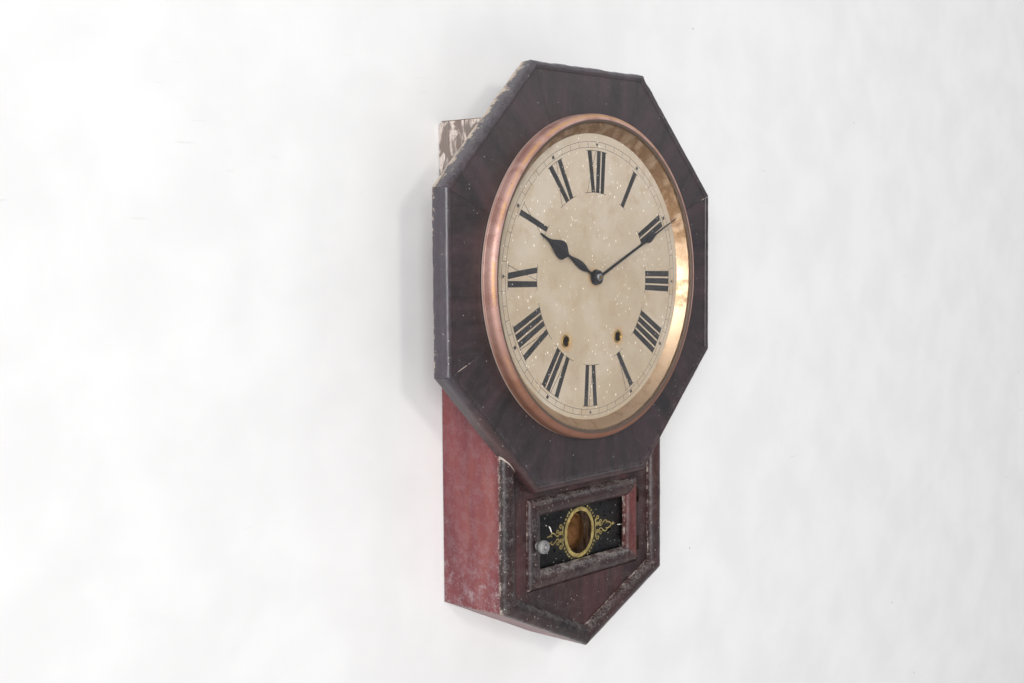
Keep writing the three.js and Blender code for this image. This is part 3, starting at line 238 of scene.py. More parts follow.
    def dress(self, **values: object) -> Material:
        """Sets the surface shader's sockets, with _ for a space in their names.

        Args:
            values: numbers, colours or sockets by socket name.

        Returns:
            The finished material.
        """
        for name, value in values.items():
            self.feed(self.surface.inputs[name.replace("_", " ")], value)
        return self.material


class Grain(Enum):
    """Where a wood finish takes the direction of its fibres from."""

    OWN = "the grain coordinates that the mesh holds"
    UPRIGHT = "the frame's height"


@dataclass(frozen=True)
class WoodFinish:
    """Stained and varnished wood with bands, fibres, bare edges, dust, pale specks and, where
    given, painted light on its upper half.
    """

    name: str
    deep: str
    warm: str
    streak: str
    worn: str = "5a3c36"
    worn_low: str = ""
    bare: str = "b5a79e"
    chalk: str = "9a948f"
    band: float = 16.0
    fibre: float = 0.35
    edges: float = 0.4
    wear: float = 0.5
    chalking: float = 0.3
    dust: float = 0.5
    speckle: float = 0.2
    roughness: float = 0.42
    gloss: float = 0.25
    # share of the chalk colour on the upper half: painted light from above
    painted_top_light: float = 0.0
    grain: Grain = Grain.OWN

    def material(self) -> Material:
        """Returns the finish as a material."""
        g = Graph(self.name)
        where = g.place()
        x, y, z = g.parts_of(where)
        if self.grain is Grain.OWN:
            along = g.vector_of("grain")
        else:
            along = g.node("CombineXYZ", {0: z, 1: x, 2: y}).outputs[0]
        bands = g.cloud(g.stretched(along, (0.12, 1, 1)), self.band, 3, 0.3)
        fine = g.cloud(g.stretched(along, (0.05, 1, 1)), 1.2, 5, 0.2)
        blotch = g.cloud(where, 48, 5, 0.4)
        rub = g.cloud(where, 9, 6, 0.3)
        chips = g.cloud(where, 2.0, 5)
        tone = g.total((bands, 0.7), (blotch, 0.3), (g.plus(fine, -0.5), self.fibre))
        colour = g.ramp(tone, (0.36, self.deep), (0.5, self.warm), (0.66, self.streak))
        # painted light: the upper half turns paler, as if lit more from above
        if self.painted_top_light:
            colour = g.over(colour, g.step(z, 0.0, 0.2), self.painted_top_light, self.chalk)
        edge = g.value_of("wear")
        rubs = g.total((rub, 1.0), (chips, 0.6))
        worn = g.step(g.total((edge, self.wear), (rubs, 0.5)), 0.5, 1.15)
        # the worn tint; on the octagon its grey-lavender is partly painted sheen
        rubbed = tint(self.worn)
        if self.worn_low:
            rubbed = g.mix(g.step(z, -0.09, -0.15), rubbed, tint(self.worn_low))
        colour = g.mix(g.times(worn, 0.6), colour, rubbed)
        haze = g.step(g.total((chips, 0.5), (rub, 0.5)), 0.47, 0.62)
        haze = g.times(haze, 0.55 * self.chalking)
        grit = g.times(g.specks(where, 1.7, 0.34, 0.45), g.step(rub, 0.42, 0.58), self.chalking)
        veil = g.step(g.total((rub, 0.6), (chips, 1.4)), 0.78, 1.25)
        veil = g.times(g.value_of("dust"), self.dust, veil)
        for share, weight in ((haze, 1.0), (grit, 0.35), (veil, 0.75)):
            colour = g.over(colour, share, weight, self.chalk)
        shift = 0.3 * self.edges
        line = g.step(g.total((edge, 1.0), (rubs, 1.0)), 1.78 - shift, 2.06 - shift)
        line = g.times(line, 0.85)
        colour = g.over(colour, line, 1.0, self.bare)
        dots = g.specks(where, 5.2, 0.15, self.speckle)
        small = g.specks(g.stretched(where, (1, 1, 0.6)), 2.6, 0.14, 0.3 * self.speckle)
        dots = g.calc("MAXIMUM", dots, small)
        colour = g.over(colour, dots, 0.75, "b9b3ac")
        rough = g.total((rub, 0.3), (veil, 0.3), (line, 0.3), (haze, 0.2))
        relief = g.total(
            (fine, 0.25), (worn, -0.2), (line, -0.5), (dots, 0.5), (rub, 0.6), (grit, 0.4)
        )
        g.raised(relief, 0.2, 0.8)
        return g.dress(
            Base_Color=colour,
            Roughness=g.plus(rough, self.roughness - 0.15),
            Coat_Weight=self.gloss,
            Coat_Roughness=0.3,
            Specular_IOR_Level=0.42,
        )


@dataclass(frozen=True)
class MetalFinish:
    """Metal with tarnish clouds, more of them higher up, bright rubbed zones and scratches."""

    name: str
    base: str
    tarnish: str
    bright: str
    tarnish_size: float = 14.0
    tarnished: float = 0.5
    higher: float = 0.0
    rubbed: float = 0.5
    roughness: float = 0.32
    scratch: float = 0.12
    metallic: float = 1.0

    def material(self) -> Material:
        """Returns the finish as a material."""
        g = Graph(self.name)
        where = g.place()
        clouds = g.cloud(where, self.tarnish_size, 6, 0.6)
        fine = g.cloud(where, 1.6, 5)
        height = g.step(g.parts_of(where)[2], -0.1, 0.12)
        low = 0.78 - 0.3 * self.tarnished
        mask = g.total((clouds, 1.0), (fine, 0.25), (height, self.higher))
        mask = g.step(mask, low - 0.1, low + 0.3)
        colour = g.mix(mask, tint(self.base), tint(self.tarnish))
        shine = g.step(g.total((g.value_of("wear"), self.rubbed), (clouds, 1.0)), 0.68, 1.0)
        colour = g.over(colour, shine, 1.0, self.bright)
        colour = g.over(colour, g.specks(where, 6.5, 0.14, 0.22), 0.6, self.tarnish)
        rough = g.total((mask, 0.22), (fine, self.scratch))
        rough = g.plus(rough, self.roughness - self.scratch / 2)
        g.raised(g.total((fine, 1.0), (clouds, 0.6)), 0.05, 0.6)
        return g.dress(Base_Color=colour, Roughness=rough, Metallic=self.metallic)


@dataclass(frozen=True)
class BezelFinish:
    """Dull pink copper, with a worn gold strip on the crest, painted shade on the inner slope and
    painted shade on its lower part.
    """

    crest: float
    inner: float
    name: str = "bezel_copper"
    base: str = "cba398"
    deep: str = "b0857a"
    # the brown below is painted shade on the lower part of the ring
    brown: str = "7f5036"
    gold: str = "d2a46c"
    # this grey-brown is painted shade on the inner slope
    inner_slope_shade: str = "6a5a50"
    rim: str = "e2cdbf"
    low_shade_heights: Flat = (0.02, -0.13)
    gold_heights: Flat = (-0.13, 0.0)
    gold_reach: Flat = (0.0018, 0.0008)
    rim_places: Flat = (-0.0936, -0.0922)
    rim_radii: Flat = (0.167, 0.1675)

    def material(self) -> Material:
        """Returns the finish as a material."""
        g = Graph(self.name)
        where = g.place()
        x, y, z = g.parts_of(where)
        radius = g.span(x, z)
        clouds = g.cloud(where, 24, 6, 0.6)
        patches = g.cloud(where, 42, 3, 0.2)
        fine = g.cloud(where, 1.6, 5)
        dull = g.step(g.total((clouds, 1.0), (fine, 0.3)), 0.55, 0.8)
        colour = g.mix(dull, tint(self.base), tint(self.deep))
        # painted shade: the ring turns brown lower down, where it faces away from the light above
        colour = g.over(colour, g.step(z, *self.low_shade_heights), 0.82, self.brown)
        strip = g.times(
            g.step(g.off(radius, self.crest * MM), *self.gold_reach),
            g.step(patches, 0.44, 0.54),
            g.step(fine, 0.36, 0.52),
            g.step(z, *self.gold_heights),
        )
        colour = g.over(colour, strip, 0.85, self.gold)
        # painted shade: the inner slope turns grey-brown, as it faces away from the light
        slope = g.step(radius, self.inner * MM, (self.inner - 0.7) * MM)
        colour = g.over(colour, slope, 1.0, self.inner_slope_shade)
        rim = g.times(g.step(y, *self.rim_places), g.step(radius, *self.rim_radii))
        colour = g.over(colour, rim, 0.6, self.rim)
        colour = g.over(colour, g.specks(where, 5.5, 0.13, 0.25), 0.6, "4a3026")
        rough = g.plus(g.total((clouds, 0.25), (fine, 0.15)), 0.36)
        g.raised(g.total((fine, 1.0), (clouds, 0.8), (strip, 0.8)), 0.08, 0.7)
        return g.dress(Base_Color=colour, Roughness=rough, Metallic=0.4)


@dataclass(frozen=True)
class PlainFinish:
    """An even paint, ink or gilding, broken by faint clouds and pale specks."""

    name: str
    base: str
    other: str
    size: float = 8.0
    speck: str = "b9b3ac"
    speckle: float = 0.0
    spacing: float = 4.0
    spot: float = 0.16
    roughness: float = 0.5
    metallic: float = 0.0
    gloss: float = 0.0
    relief: float = 0.04
    mirror: float = 0.5

    def material(self) -> Material:
        """Returns the finish as a material."""
        g = Graph(self.name)
        where = g.place()
        clouds = g.cloud(where, self.size, 5, 0.3)
        fine = g.cloud(where, 0.9, 3)
        colour = g.mix(g.step(clouds, 0.35, 0.68), tint(self.base), tint(self.other))
        if self.speckle:
            dots = g.specks(where, self.spacing, self.spot, self.speckle)
            colour = g.over(colour, dots, 0.85, self.speck)
        rough = g.plus(self.roughness, g.times(g.plus(clouds, -0.5), 0.2))
        g.raised(fine, self.relief, 0.7)
        return g.dress(
            Base_Color=colour,
            Roughness=rough,
            Metallic=self.metallic,
            Specular_IOR_Level=self.mirror,
            Coat_Weight=self.gloss,
            Coat_Roughness=0.2,
        )


@dataclass(frozen=True)
class DialPaint:
    """Cream paint with tan clouds, painted light on its upper half, pale specks, brown spots and
    rust round each hole.
    """

    holes: tuple[Flat, ...]
    name: str = "dial_paint"

    def material(self) -> Material:
        """Returns the finish as a material."""
        g = Graph(self.name)
        where = g.place()
        x, _, z = g.parts_of(where)
        broad = g.cloud(where, 60, 5, 0.8)
        mid = g.cloud(where, 14, 6, 0.5)
        fine = g.cloud(where, 1.2, 4)
        colour = g.ramp(broad, (0.33, "978974"), (0.5, "9e917d"), (0.66, "a49988"))
        # painted light: the upper half is made lighter, as if lit more from above
        colour = g.over(colour, g.step(z, 0.0, 0.14), 0.6, "ada292")
        colour = g.over(colour, g.step(mid, 0.5, 0.72), 0.4, "937c61")
        colour = g.over(colour, g.step(fine, 0.62, 0.8), 0.2, "9b8a70")
        for hole in self.holes:
            span = g.plus(g.span(x, z, hole), g.times(g.plus(mid, -0.5), 0.012))
            colour = g.over(colour, g.step(span, 0.0135, 0.0065), 0.6, "a07a44")
        colour = g.over(colour, g.specks(where, 9, 0.075, 0.35), 0.8, "6e5a44")
        lean = {"Vector": where, "Rotation": (0, 0.5, 0), "Scale": (1, 1, 0.55)}
        slant = g.node("Mapping", lean).outputs[0]
        corner = g.step(g.total((z, 1.0), (x, -0.7)), -0.02, 0.15)
        thick = g.total((g.cloud(where, 40, 2), 1.0), (corner, 0.18))
        more = g.times(g.specks(slant, 3.5, 0.2, 0.5), g.step(thick, 0.47, 0.62))
        dots = g.calc("MAXIMUM", g.specks(slant, 5.6, 0.16, 0.42), more)
        colour = g.over(colour, dots, 0.85, "e0dace")
        g.raised(g.total((fine, 0.3), (dots, 0.7)), 0.06, 0.7)
        return g.dress(Base_Color=colour, Roughness=0.55, Specular_IOR_Level=0.35)


@dataclass(frozen=True)
class GlassFinish:
    """Clear glass with a faint uneven polish."""

    name: str
    tone: str = "f7f6f6"
    roughness: float = 0.01
    smear: float = 0.03
    index: float = 1.45

    def material(self) -> Material:
        """Returns the finish as a material."""
        g = Graph(self.name)
        g.raised(g.cloud(g.place(), 45, 2), 0.03, 0.2)
        smears = g.step(g.cloud(g.place(), 18, 5, 1.0), 0.45, 0.75)
        return g.dress(
            Base_Color=tint(self.tone),
            Roughness=g.plus(g.times(smears, self.smear), self.roughness),
            Transmission_Weight=1.0,
            IOR=self.index,
        )


def placed(name: str, data: bpy.types.ID) -> bpy.types.Object:
    """Returns a new object in the scene that shows some data."""
    made = bpy.data.objects.new(name, data)
    bpy.context.scene.collection.objects.link(made)
    return made


class Shell:
    """Points, faces and surface values of one mesh in the making."""

    def __init__(self) -> None:
        """Starts with nothing."""
        self.points: list[Sequence[float]] = []
        self.faces: list[tuple[int, ...]] = []
        self.wear: list[float] = []
        self.grain: list[Sequence[float]] = []

    def sheet(
        self,
        places: np.ndarray,
        wear: np.ndarray | float = 0.0,
        grain: np.ndarray | None = None,
        wrap_rows: bool = False,
        wrap_columns: bool = False,
    ) -> np.ndarray:
        """Adds a grid of quads.

        Args:
            places: points in millimetres, as rows by columns by three.
            wear: how exposed each point is, from 0 to 1.
            grain: coordinates along and across the fibres, in millimetres.
            wrap_rows: whether the last row joins the first.
            wrap_columns: whether the last column joins the first.

        Returns:
            The numbers of the new points, as rows by columns.
        """
        rows, columns = places.shape[:2]
        start = len(self.points)
        ids = np.arange(start, start + rows * columns).reshape(rows, columns)
        self.points += places.reshape(-1, 3).tolist()
        self.wear += np.broadcast_to(np.asarray(wear, float), (rows, columns)).ravel().tolist()
        fibres = places if grain is None else grain
        self.grain += fibres.reshape(-1, 3).tolist()
        for i in range(rows if wrap_rows else rows - 1):
            for j in range(columns if wrap_columns else columns - 1):
                k, m = (i + 1) % rows, (j + 1) % columns
                self.faces.append((ids[i, j], ids[i, m], ids[k, m], ids[k, j]))
        return ids

    def cap(self, ids: Iterable[int]) -> None:
        """Adds one flat face over a ring of points."""
        self.faces.append(tuple(int(i) for i in ids))

    def stack(self, rings: np.ndarray, wear: np.ndarray | float = 0.0) -> None:
        """Adds rings joined one to the next, with the first and the last filled."""
        ids = self.sheet(rings, wear, wrap_columns=True)
        self.cap(ids[0][::-1])
        self.cap(ids[-1])

    def bar(
        self, places: np.ndarray, wear: np.ndarray | float = 0.0, grain: np.ndarray | None = None
    ) -> None:
        """Adds a closed bar with both its ends filled.

        Args:
            places: points in millimetres, as rows round it by columns along it by three.
            wear: how exposed each point is, from 0 to 1.
            grain: coordinates along and across the fibres, in millimetres.
        """
        ids = self.sheet(places, wear, grain, wrap_rows=True)
        self.cap(ids[:, 0])
        self.cap(ids[::-1, -1])

    def leaf(self, edges: tuple[Sequence, Sequence], depths: Flat, closed: bool = False) -> None:
        """Adds a thin flat leaf.

        Args:
            edges: the x and z of the points along its two edges.
            depths: the depth of its back and of its face.
            closed: whether its edges are rings.
        """
        (one, other), (low, high) = edges, depths
        flats = np.array([one, one, other, other])
        places = facing_front(flats, np.array([low, high, high, low])[:, None] + 0 * flats[..., 0])
        if closed:
            self.sheet(places, wrap_rows=True, wrap_columns=True)
        else:
            self.bar(places)

    def build(
        self,
        name: str,
        finish: Material,
        body: str,
        slot: str,
        stands_for: Sequence[str] = (),
        sharp: float = 38.0,
        battered: float = 0.0,
    ) -> bpy.types.Object:
        """Makes the object, smooth but for its sharp edges, and rides it on its body.

        Args:
            name: the piece's name.
            finish: its material.
            body: the body that it moves with.
            slot: the record's material slot; not used.
            stands_for: the nodes that it replaces.
            sharp: the least angle of an edge that stays sharp, in degrees.
            battered: how far worn points wander, in millimetres.

        Returns:
            The new object.
        """
        mesh = bpy.data.meshes.new(name)
        places = np.asarray(self.points, float)
        if battered:
            places = places + self.knocks(places, battered)
        faces = [tuple(int(i) for i in face) for face in self.faces]
        mesh.from_pydata((places * MM).tolist(), [], faces)
        mesh.attributes.new("wear", "FLOAT", "POINT").data.foreach_set("value", self.wear)
        fibres = (np.asarray(self.grain, float) * MM).ravel()
        mesh.attributes.new("grain", "FLOAT_VECTOR", "POINT").data.foreach_set("vector", fibres)
        work = bmesh.new()
        work.from_mesh(mesh)
        bmesh.ops.remove_doubles(work, verts=work.verts, dist=WELD)
        bmesh.ops.recalc_face_normals(work, faces=work.faces)
        work.to_mesh(mesh)
        work.free()
        mesh.shade_smooth()
        mesh.set_sharp_from_angle(angle=math.radians(sharp))
        lift = np.zeros(len(mesh.vertices) * 3)
        mesh.vertex_normals.foreach_get("vector", lift)
        upward = np.clip((lift.reshape(-1, 3)[:, 2] - 0.1) / 0.7, 0, 1)
        mesh.attributes.new("dust", "FLOAT", "POINT").data.foreach_set("value", upward)
        made = placed(name, mesh)
        mesh.materials.append(finish)
        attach(made, body)
        if stands_for:
            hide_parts(*stands_for)
        LOG.info("%s: %d points on %s", name, len(mesh.vertices), body)
        return made

    def knocks(self, places: np.ndarray, reach: float) -> np.ndarray:
        """Returns small shifts that grow with wear, the same in each run.

        Args:
            places: the points, in millimetres.
            reach: the furthest shift.

        Returns:
            One shift for each point.
        """
        shifts = np.zeros_like(places)
        for i, (place, share) in enumerate(zip(places, self.wear)):
            if share > 0:
                spot = Vector(place)
                bend = noise.noise_vector(spot * 0.06) + 0.6 * noise.noise_vector(spot * 0.21)
                lift = 1 + 1.6 * min(1.0, max(0.0, place[2] - 160) / 40)
                shifts[i] = np.array(bend) * reach * lift * min(1.0, share * 1.5)
        return shifts


def turned_shell(
    centre: Flat, profile: Sequence[tuple[float, ...]], steps: int, shell: Shell | None = None
) -> Shell:
    """Turns a profile round a line that runs forward from the wall.

    Args:
        centre: the x and z of the line.
        profile: radius, depth and, where given, wear of each point.
        steps: the number of facets round.
        shell: the shell that takes the points, or none for a new one.

    Returns:
        The shell.
    """
    shell = shell or Shell()
    angles = np.linspace(0, TURN, steps, endpoint=False)
    radius, depth, wear = np.array([(*point, 0.0)[:3] for point in profile]).T[..., None]
    x, z = centre[0] + radius * np.cos(angles), centre[1] + radius * np.sin(angles)
    places = np.stack([x, -depth + 0 * angles, z], axis=-1)
    shell.sheet(places, wear + 0 * angles, wrap_columns=True)
    return shell


def arc(centre: Flat, radius: float, start: float, end: float, steps: int) -> list[Flat]:
    """Returns points of an arc in a profile, with angles in degrees from outward to forward."""
    turns = [math.radians(start + (end - start) * i / steps) for i in range(steps + 1)]
    return [(centre[0] + radius * math.cos(a), centre[1] + radius * math.sin(a)) for a in turns]


def ring_of(centre: Flat, radii: Flat, count: int, start: float = 0.0) -> list[Flat]:
    """Returns points round an oval, anticlockwise, from a start angle in radians."""
    turns = [TURN * i / count + start for i in range(count)]
    return [(centre[0] + radii[0] * math.cos(a), centre[1] + radii[1] * math.sin(a)) for a in turns]


def inset(outline: Sequence[Flat], distance: float) -> list[Flat]:
    """Moves each side of an anticlockwise outline inward.

    Args:
        outline: the corners.
        distance: how far each side moves in.

    Returns:
        The corners of the smaller outline.
    """
    count = len(outline)
    moved = []
    for i in range(count):
        before, here, after = (Vector(outline[(i + k) % count]) for k in (-1, 0, 1))
        first, second = (here - before).normalized(), (after - here).normalized()
        normals = Vector((-first.y, first.x)), Vector((-second.y, second.x))
        mitre = (normals[0] + normals[1]) / max(0.2, 1 + normals[0].dot(normals[1]))
        moved.append(tuple(here + mitre * distance))
    return moved


def smooth_line(knots: Sequence[Flat], parts: int = 6) -> list[Flat]:
    """Returns a smooth line through some points.

    Args:
        knots: the points that it passes.
        parts: the number of steps between two of them.

    Returns:
        The points of the line.
    """
    padded = np.array([knots[0], *knots, knots[-1]], float)
    line = []
    for a, b, c, d in zip(padded, padded[1:], padded[2:], padded[3:]):
        second, third = 2 * a - 5 * b + 4 * c - d, 3 * b - a - 3 * c + d
        for t in (i / parts for i in range(parts)):
            line.append(0.5 * (2 * b + (c - a) * t + second * t * t + third * t**3))
    return [tuple(point) for point in [*line, padded[-1]]]


Placer = Callable[[np.ndarray, np.ndarray], np.ndarray]


def facing_front(flat: np.ndarray, height: np.ndarray) -> np.ndarray:
    """Places an outline of x and z, with its height as depth."""
    return np.stack([flat[..., 0], -height, flat[..., 1]], axis=-1)


def across_of(line: np.ndarray) -> np.ndarray:
    """Returns the direction to the left of a flat line at each of its points."""
    way = np.gradient(line, axis=0)
    way /= np.linalg.norm(way, axis=1)[:, None]
    return np.stack([-way[:, 1], way[:, 0]], axis=1)


def slab_shell(
    outline: Sequence[Flat],
    low: float,
    high: float,
    edge: float,
    place: Placer = facing_front,
    zone: float = 0.0,
    shell: Shell | None = None,
    exposed: float = 1.0,
) -> Shell:
    """Makes a slab with rounded edges, and a band of wear inside each edge.

    Args:
        outline: the slab's corners, anticlockwise.
        low: one face's height.
        high: the other face's height.
        edge: the rounding's radius.
        place: turns outline points and heights into places.
        zone: the width of the worn band.
        shell: the shell that takes the points, or none for a new one.
        exposed: the wear on the rounded edges.

    Returns:
        The shell.
    """
    shell = shell or Shell()
    rounds = [math.radians(a) for a in EDGE_ANGLES]
    layers = [(edge + zone, low, 0.0)] if zone else []
    layers += [(edge * (1 - math.sin(a)), low + edge * (1 - math.cos(a)), exposed) for a in rounds]
    layers += [(edge * (1 - math.cos(a)), high - edge * (1 - math.sin(a)), exposed) for a in rounds]
    if zone:
        layers.append((edge + zone, high, 0.0))
    flats = np.array([inset(outline, layer[0]) for layer in layers])
    heights = np.array([layer[1] for layer in layers])[:, None] + 0 * flats[..., 0]
    wear = np.array([layer[2] for layer in layers])[:, None] + 0 * heights
    shell.stack(place(flats, heights), wear)
    return shell


def half_round(width: float, height: float, base: float, steps: int) -> list[Row]:
    """Returns a half-round section as inward distance, depth and wear."""
    rows = []
    for a in (math.pi * i / steps for i in range(steps + 1)):
        wear = 0.25 + 0.75 * abs(math.cos(a)) ** 10
        rows.append((width / 2 * (1 - math.cos(a)), base + height * math.sin(a), wear))
    return rows


@dataclass(frozen=True)
class Mitred:
    """One member of a frame, swept along a side of an outline between mitred ends."""

    outline: tuple[Flat, ...]
    side: int
    section: tuple[Row, ...]
    steps: int = 60
    first_end: Callable[[float], float] | None = None
    last_end: Callable[[float], float] | None = None
    end_wear: float = 0.5
    end_reach: float = 6.0
    first_wear: float = 0.0
    grain_step: float = 310.0

    def mitre(self, corner: int) -> np.ndarray:
        """Returns the shift of a corner for each millimetre inward."""
        count = len(self.outline)
        before, here, after = np.array([self.outline[(corner + k) % count] for k in (-1, 0, 1)])
        ways = [way / np.linalg.norm(way) for way in (here - before, after - here)]
        first, second = (np.array([-way[1], way[0]]) for way in ways)
        return (first + second) / (1 + first @ second)

    def end_line(self, corner: int, way: np.ndarray, own: Callable | None) -> np.ndarray:
        """Returns the section's points where it meets an end.

        Args:
            corner: the corner of the outline at that end.
            way: the direction from this end into the member.
            own: the height for a given x, where the end isn't a mitre.

        Returns:
            The x and z of each point.
        """
        lean = self.mitre(corner)
        slip = SEAM * np.linalg.norm(lean)
        line = [np.array(self.outline[corner]) + lean * row[0] + way * slip for row in self.section]
        return np.array([[x, own(x)] for x, _ in line] if own else line)

    def shell(self) -> Shell:
        """Sweeps the section into a closed shell."""
        last = (self.side + 1) % len(self.outline)
        start, end = np.array(self.outline[self.side]), np.array(self.outline[last])
        way = (end - start) / np.linalg.norm(end - start)
        first_line = self.end_line(self.side, way, self.first_end)
        last_line = self.end_line(last, -way, self.last_end)
        shares = np.linspace(0, 1, self.steps + 1)
        shares = np.unique(np.concatenate([shares, [0.004, 0.012, 0.988, 0.996]]))
        flats = first_line[:, None] + (last_line - first_line)[:, None] * shares[None, :, None]
        length = np.linalg.norm(last_line - first_line, axis=1)[:, None]
        near = np.minimum(shares, 1 - shares)[None, :] * length
        _, depth, wear = np.array(self.section).T[..., None]
        wear = wear + self.end_wear * np.clip(1 - near / self.end_reach, 0, 1)
        run = shares[None, :] * length
        wear = np.clip(wear, 0, 1) + self.first_wear * np.clip(1.2 - run / 2.5, 0, 1)
        steps = [math.dist(a[:2], b[:2]) for a, b in zip(self.section, self.section[1:])]
        across = np.cumsum([0.0, *steps])[:, None]
        run = run + self.side * self.grain_step
        grain = np.stack([run, across + 0 * run, 0 * run], axis=-1)
        shell = Shell()
        shell.bar(facing_front(flats, depth + 0 * shares), wear, grain)
        return shell


@dataclass(frozen=True)
class Finishes:
    """The materials of the clock, made once and shared."""

    octagon: Material
    moulding: Material
    dusty_moulding: Material
    red_moulding: Material
    panel: Material
    side: Material
    raw: Material
    copper: Material
    reflector: Material
    hinge: Material
    bob: Material
    brass: Material
    steel: Material
    blued: Material
    pewter: Material
    iron: Material
    black: Material
    ink: Material
    gilt: Material
    backing: Material
    scratch: Material
    eyelet: Material
    dial: Material
    glass: Material
    door_glass: Material

    @staticmethod
    def make(holes: tuple[Flat, ...]) -> Finishes:
        """Makes every material.

        Args:
            holes: the places of the dial's holes, where rust shows.

        Returns:
            The set of materials.
        """
        moulding = WoodFinish(
            "moulding_wood", "170e0f", "2c1819", "41211f", band=24, chalking=0.14, dust=0.55,
            speckle=0.35, roughness=0.36, gloss=0.4,
        )
        looks = {
            # the octagon's worn tint 56515a is partly rubbed varnish and partly a painted
            # grey-lavender sheen; its top share paints light from above
            "octagon": WoodFinish(
                "octagon_veneer", "252022", "342a2c", "433136", worn="56515a", worn_low="5a3834",
                bare="e0cdb8", chalk="8d8885", band=22, fibre=0.25, edges=0.2, wear=0.85,
                chalking=0.07, dust=0.3, speckle=0.1, roughness=0.4, gloss=0.35, painted_top_light=0.09,
            ),
            "moulding": moulding,
            "dusty_moulding": replace(
                moulding, name="dusty_moulding_wood", chalking=0.3, dust=0.8, speckle=0.6
            ),
            "red_moulding": replace(
                moulding, name="red_moulding_wood", deep="3a1817", warm="5e2c2a",
                streak="753a34", dust=0.3,
            ),
            "panel": WoodFinish(
                "panel_wood", "1f1314", "321d1e", "4a292a", band=26, chalking=0.14, dust=0.2,
                speckle=0.3, grain=Grain.UPRIGHT,
            ),
            "side": SideWood(),
            "raw": WoodFinish(
                "bare_wood", "5c4433", "8b6e55", "a98f76", worn="b7a491", chalk="c9c0b4", band=9,
                fibre=0.9, chalking=0.4, roughness=0.75, gloss=0.0, grain=Grain.UPRIGHT,
            ),
            "copper": BezelFinish(crest=165.7, inner=162.5),
            "reflector": MetalFinish(
                "reflector_brass", "bba184", "8a6a48", "cbb696", tarnish_size=17,
                tarnished=0.25, higher=0.24, rubbed=0.1, roughness=0.5,
            ),
            "hinge": MetalFinish(
                "hinge_brass", "3d3226", "241b16", "5e4e38", tarnished=0.9, roughness=0.6
            ),
            "bob": MetalFinish(
                "bob_brass", "a3754a", "4a2f1c", "cb9c66", tarnished=0.6, roughness=0.4
            ),
            "brass": MetalFinish("movement_brass", "b9975b", "7b5c35", "d8bc82"),
            "steel": MetalFinish("steel", "8d8f92", "5a5450", "b5b7ba", tarnished=0.4),
            "blued": MetalFinish("blued_steel", "3c414f", "2c2724", "5f6574", tarnished=0.3),
            "pewter": MetalFinish(
                "knob_pewter", "787676", "5c5858", "9c9a98", tarnish_size=3, roughness=0.62,
                metallic=0.35,
            ),
            "iron": MetalFinish(
                "gong_iron", "2a2624", "40291e", "4b4744", roughness=0.6, metallic=0.6
            ),
            "black": PlainFinish("hand_black", "0b0b0c", "17161a", roughness=0.35, gloss=0.3),
            "ink": PlainFinish(
                "dial_ink", "1c1c1d", "2e2d2d", speck="cfc8ba", speckle=0.3, spacing=4.5
            ),
            "gilt": PlainFinish("gilding", "77683a", "93834f", size=5, metallic=0.1),
            "backing": PlainFinish(
                "glass_black", "030304", "08090b", speck="c4c0b8", speckle=0.42, spacing=4.2,
                spot=0.17, roughness=0.3, relief=0.0, mirror=0.4,
            ),
            "scratch": PlainFinish("bare_scratch", "d9d6d0", "b5b1aa", size=3),
            "eyelet": MetalFinish(
                "eyelet_brass", "8f7238", "3b2a1a", "c7a860", tarnish_size=5, tarnished=0.9
            ),
            "dial": DialPaint(holes),
            "glass": GlassFinish("clear_glass"),
            "door_glass": GlassFinish("door_glass_clear", roughness=0.0, smear=0.0, index=1.02),
        }
        return Finishes(**{name: look.material() for name, look in looks.items()})


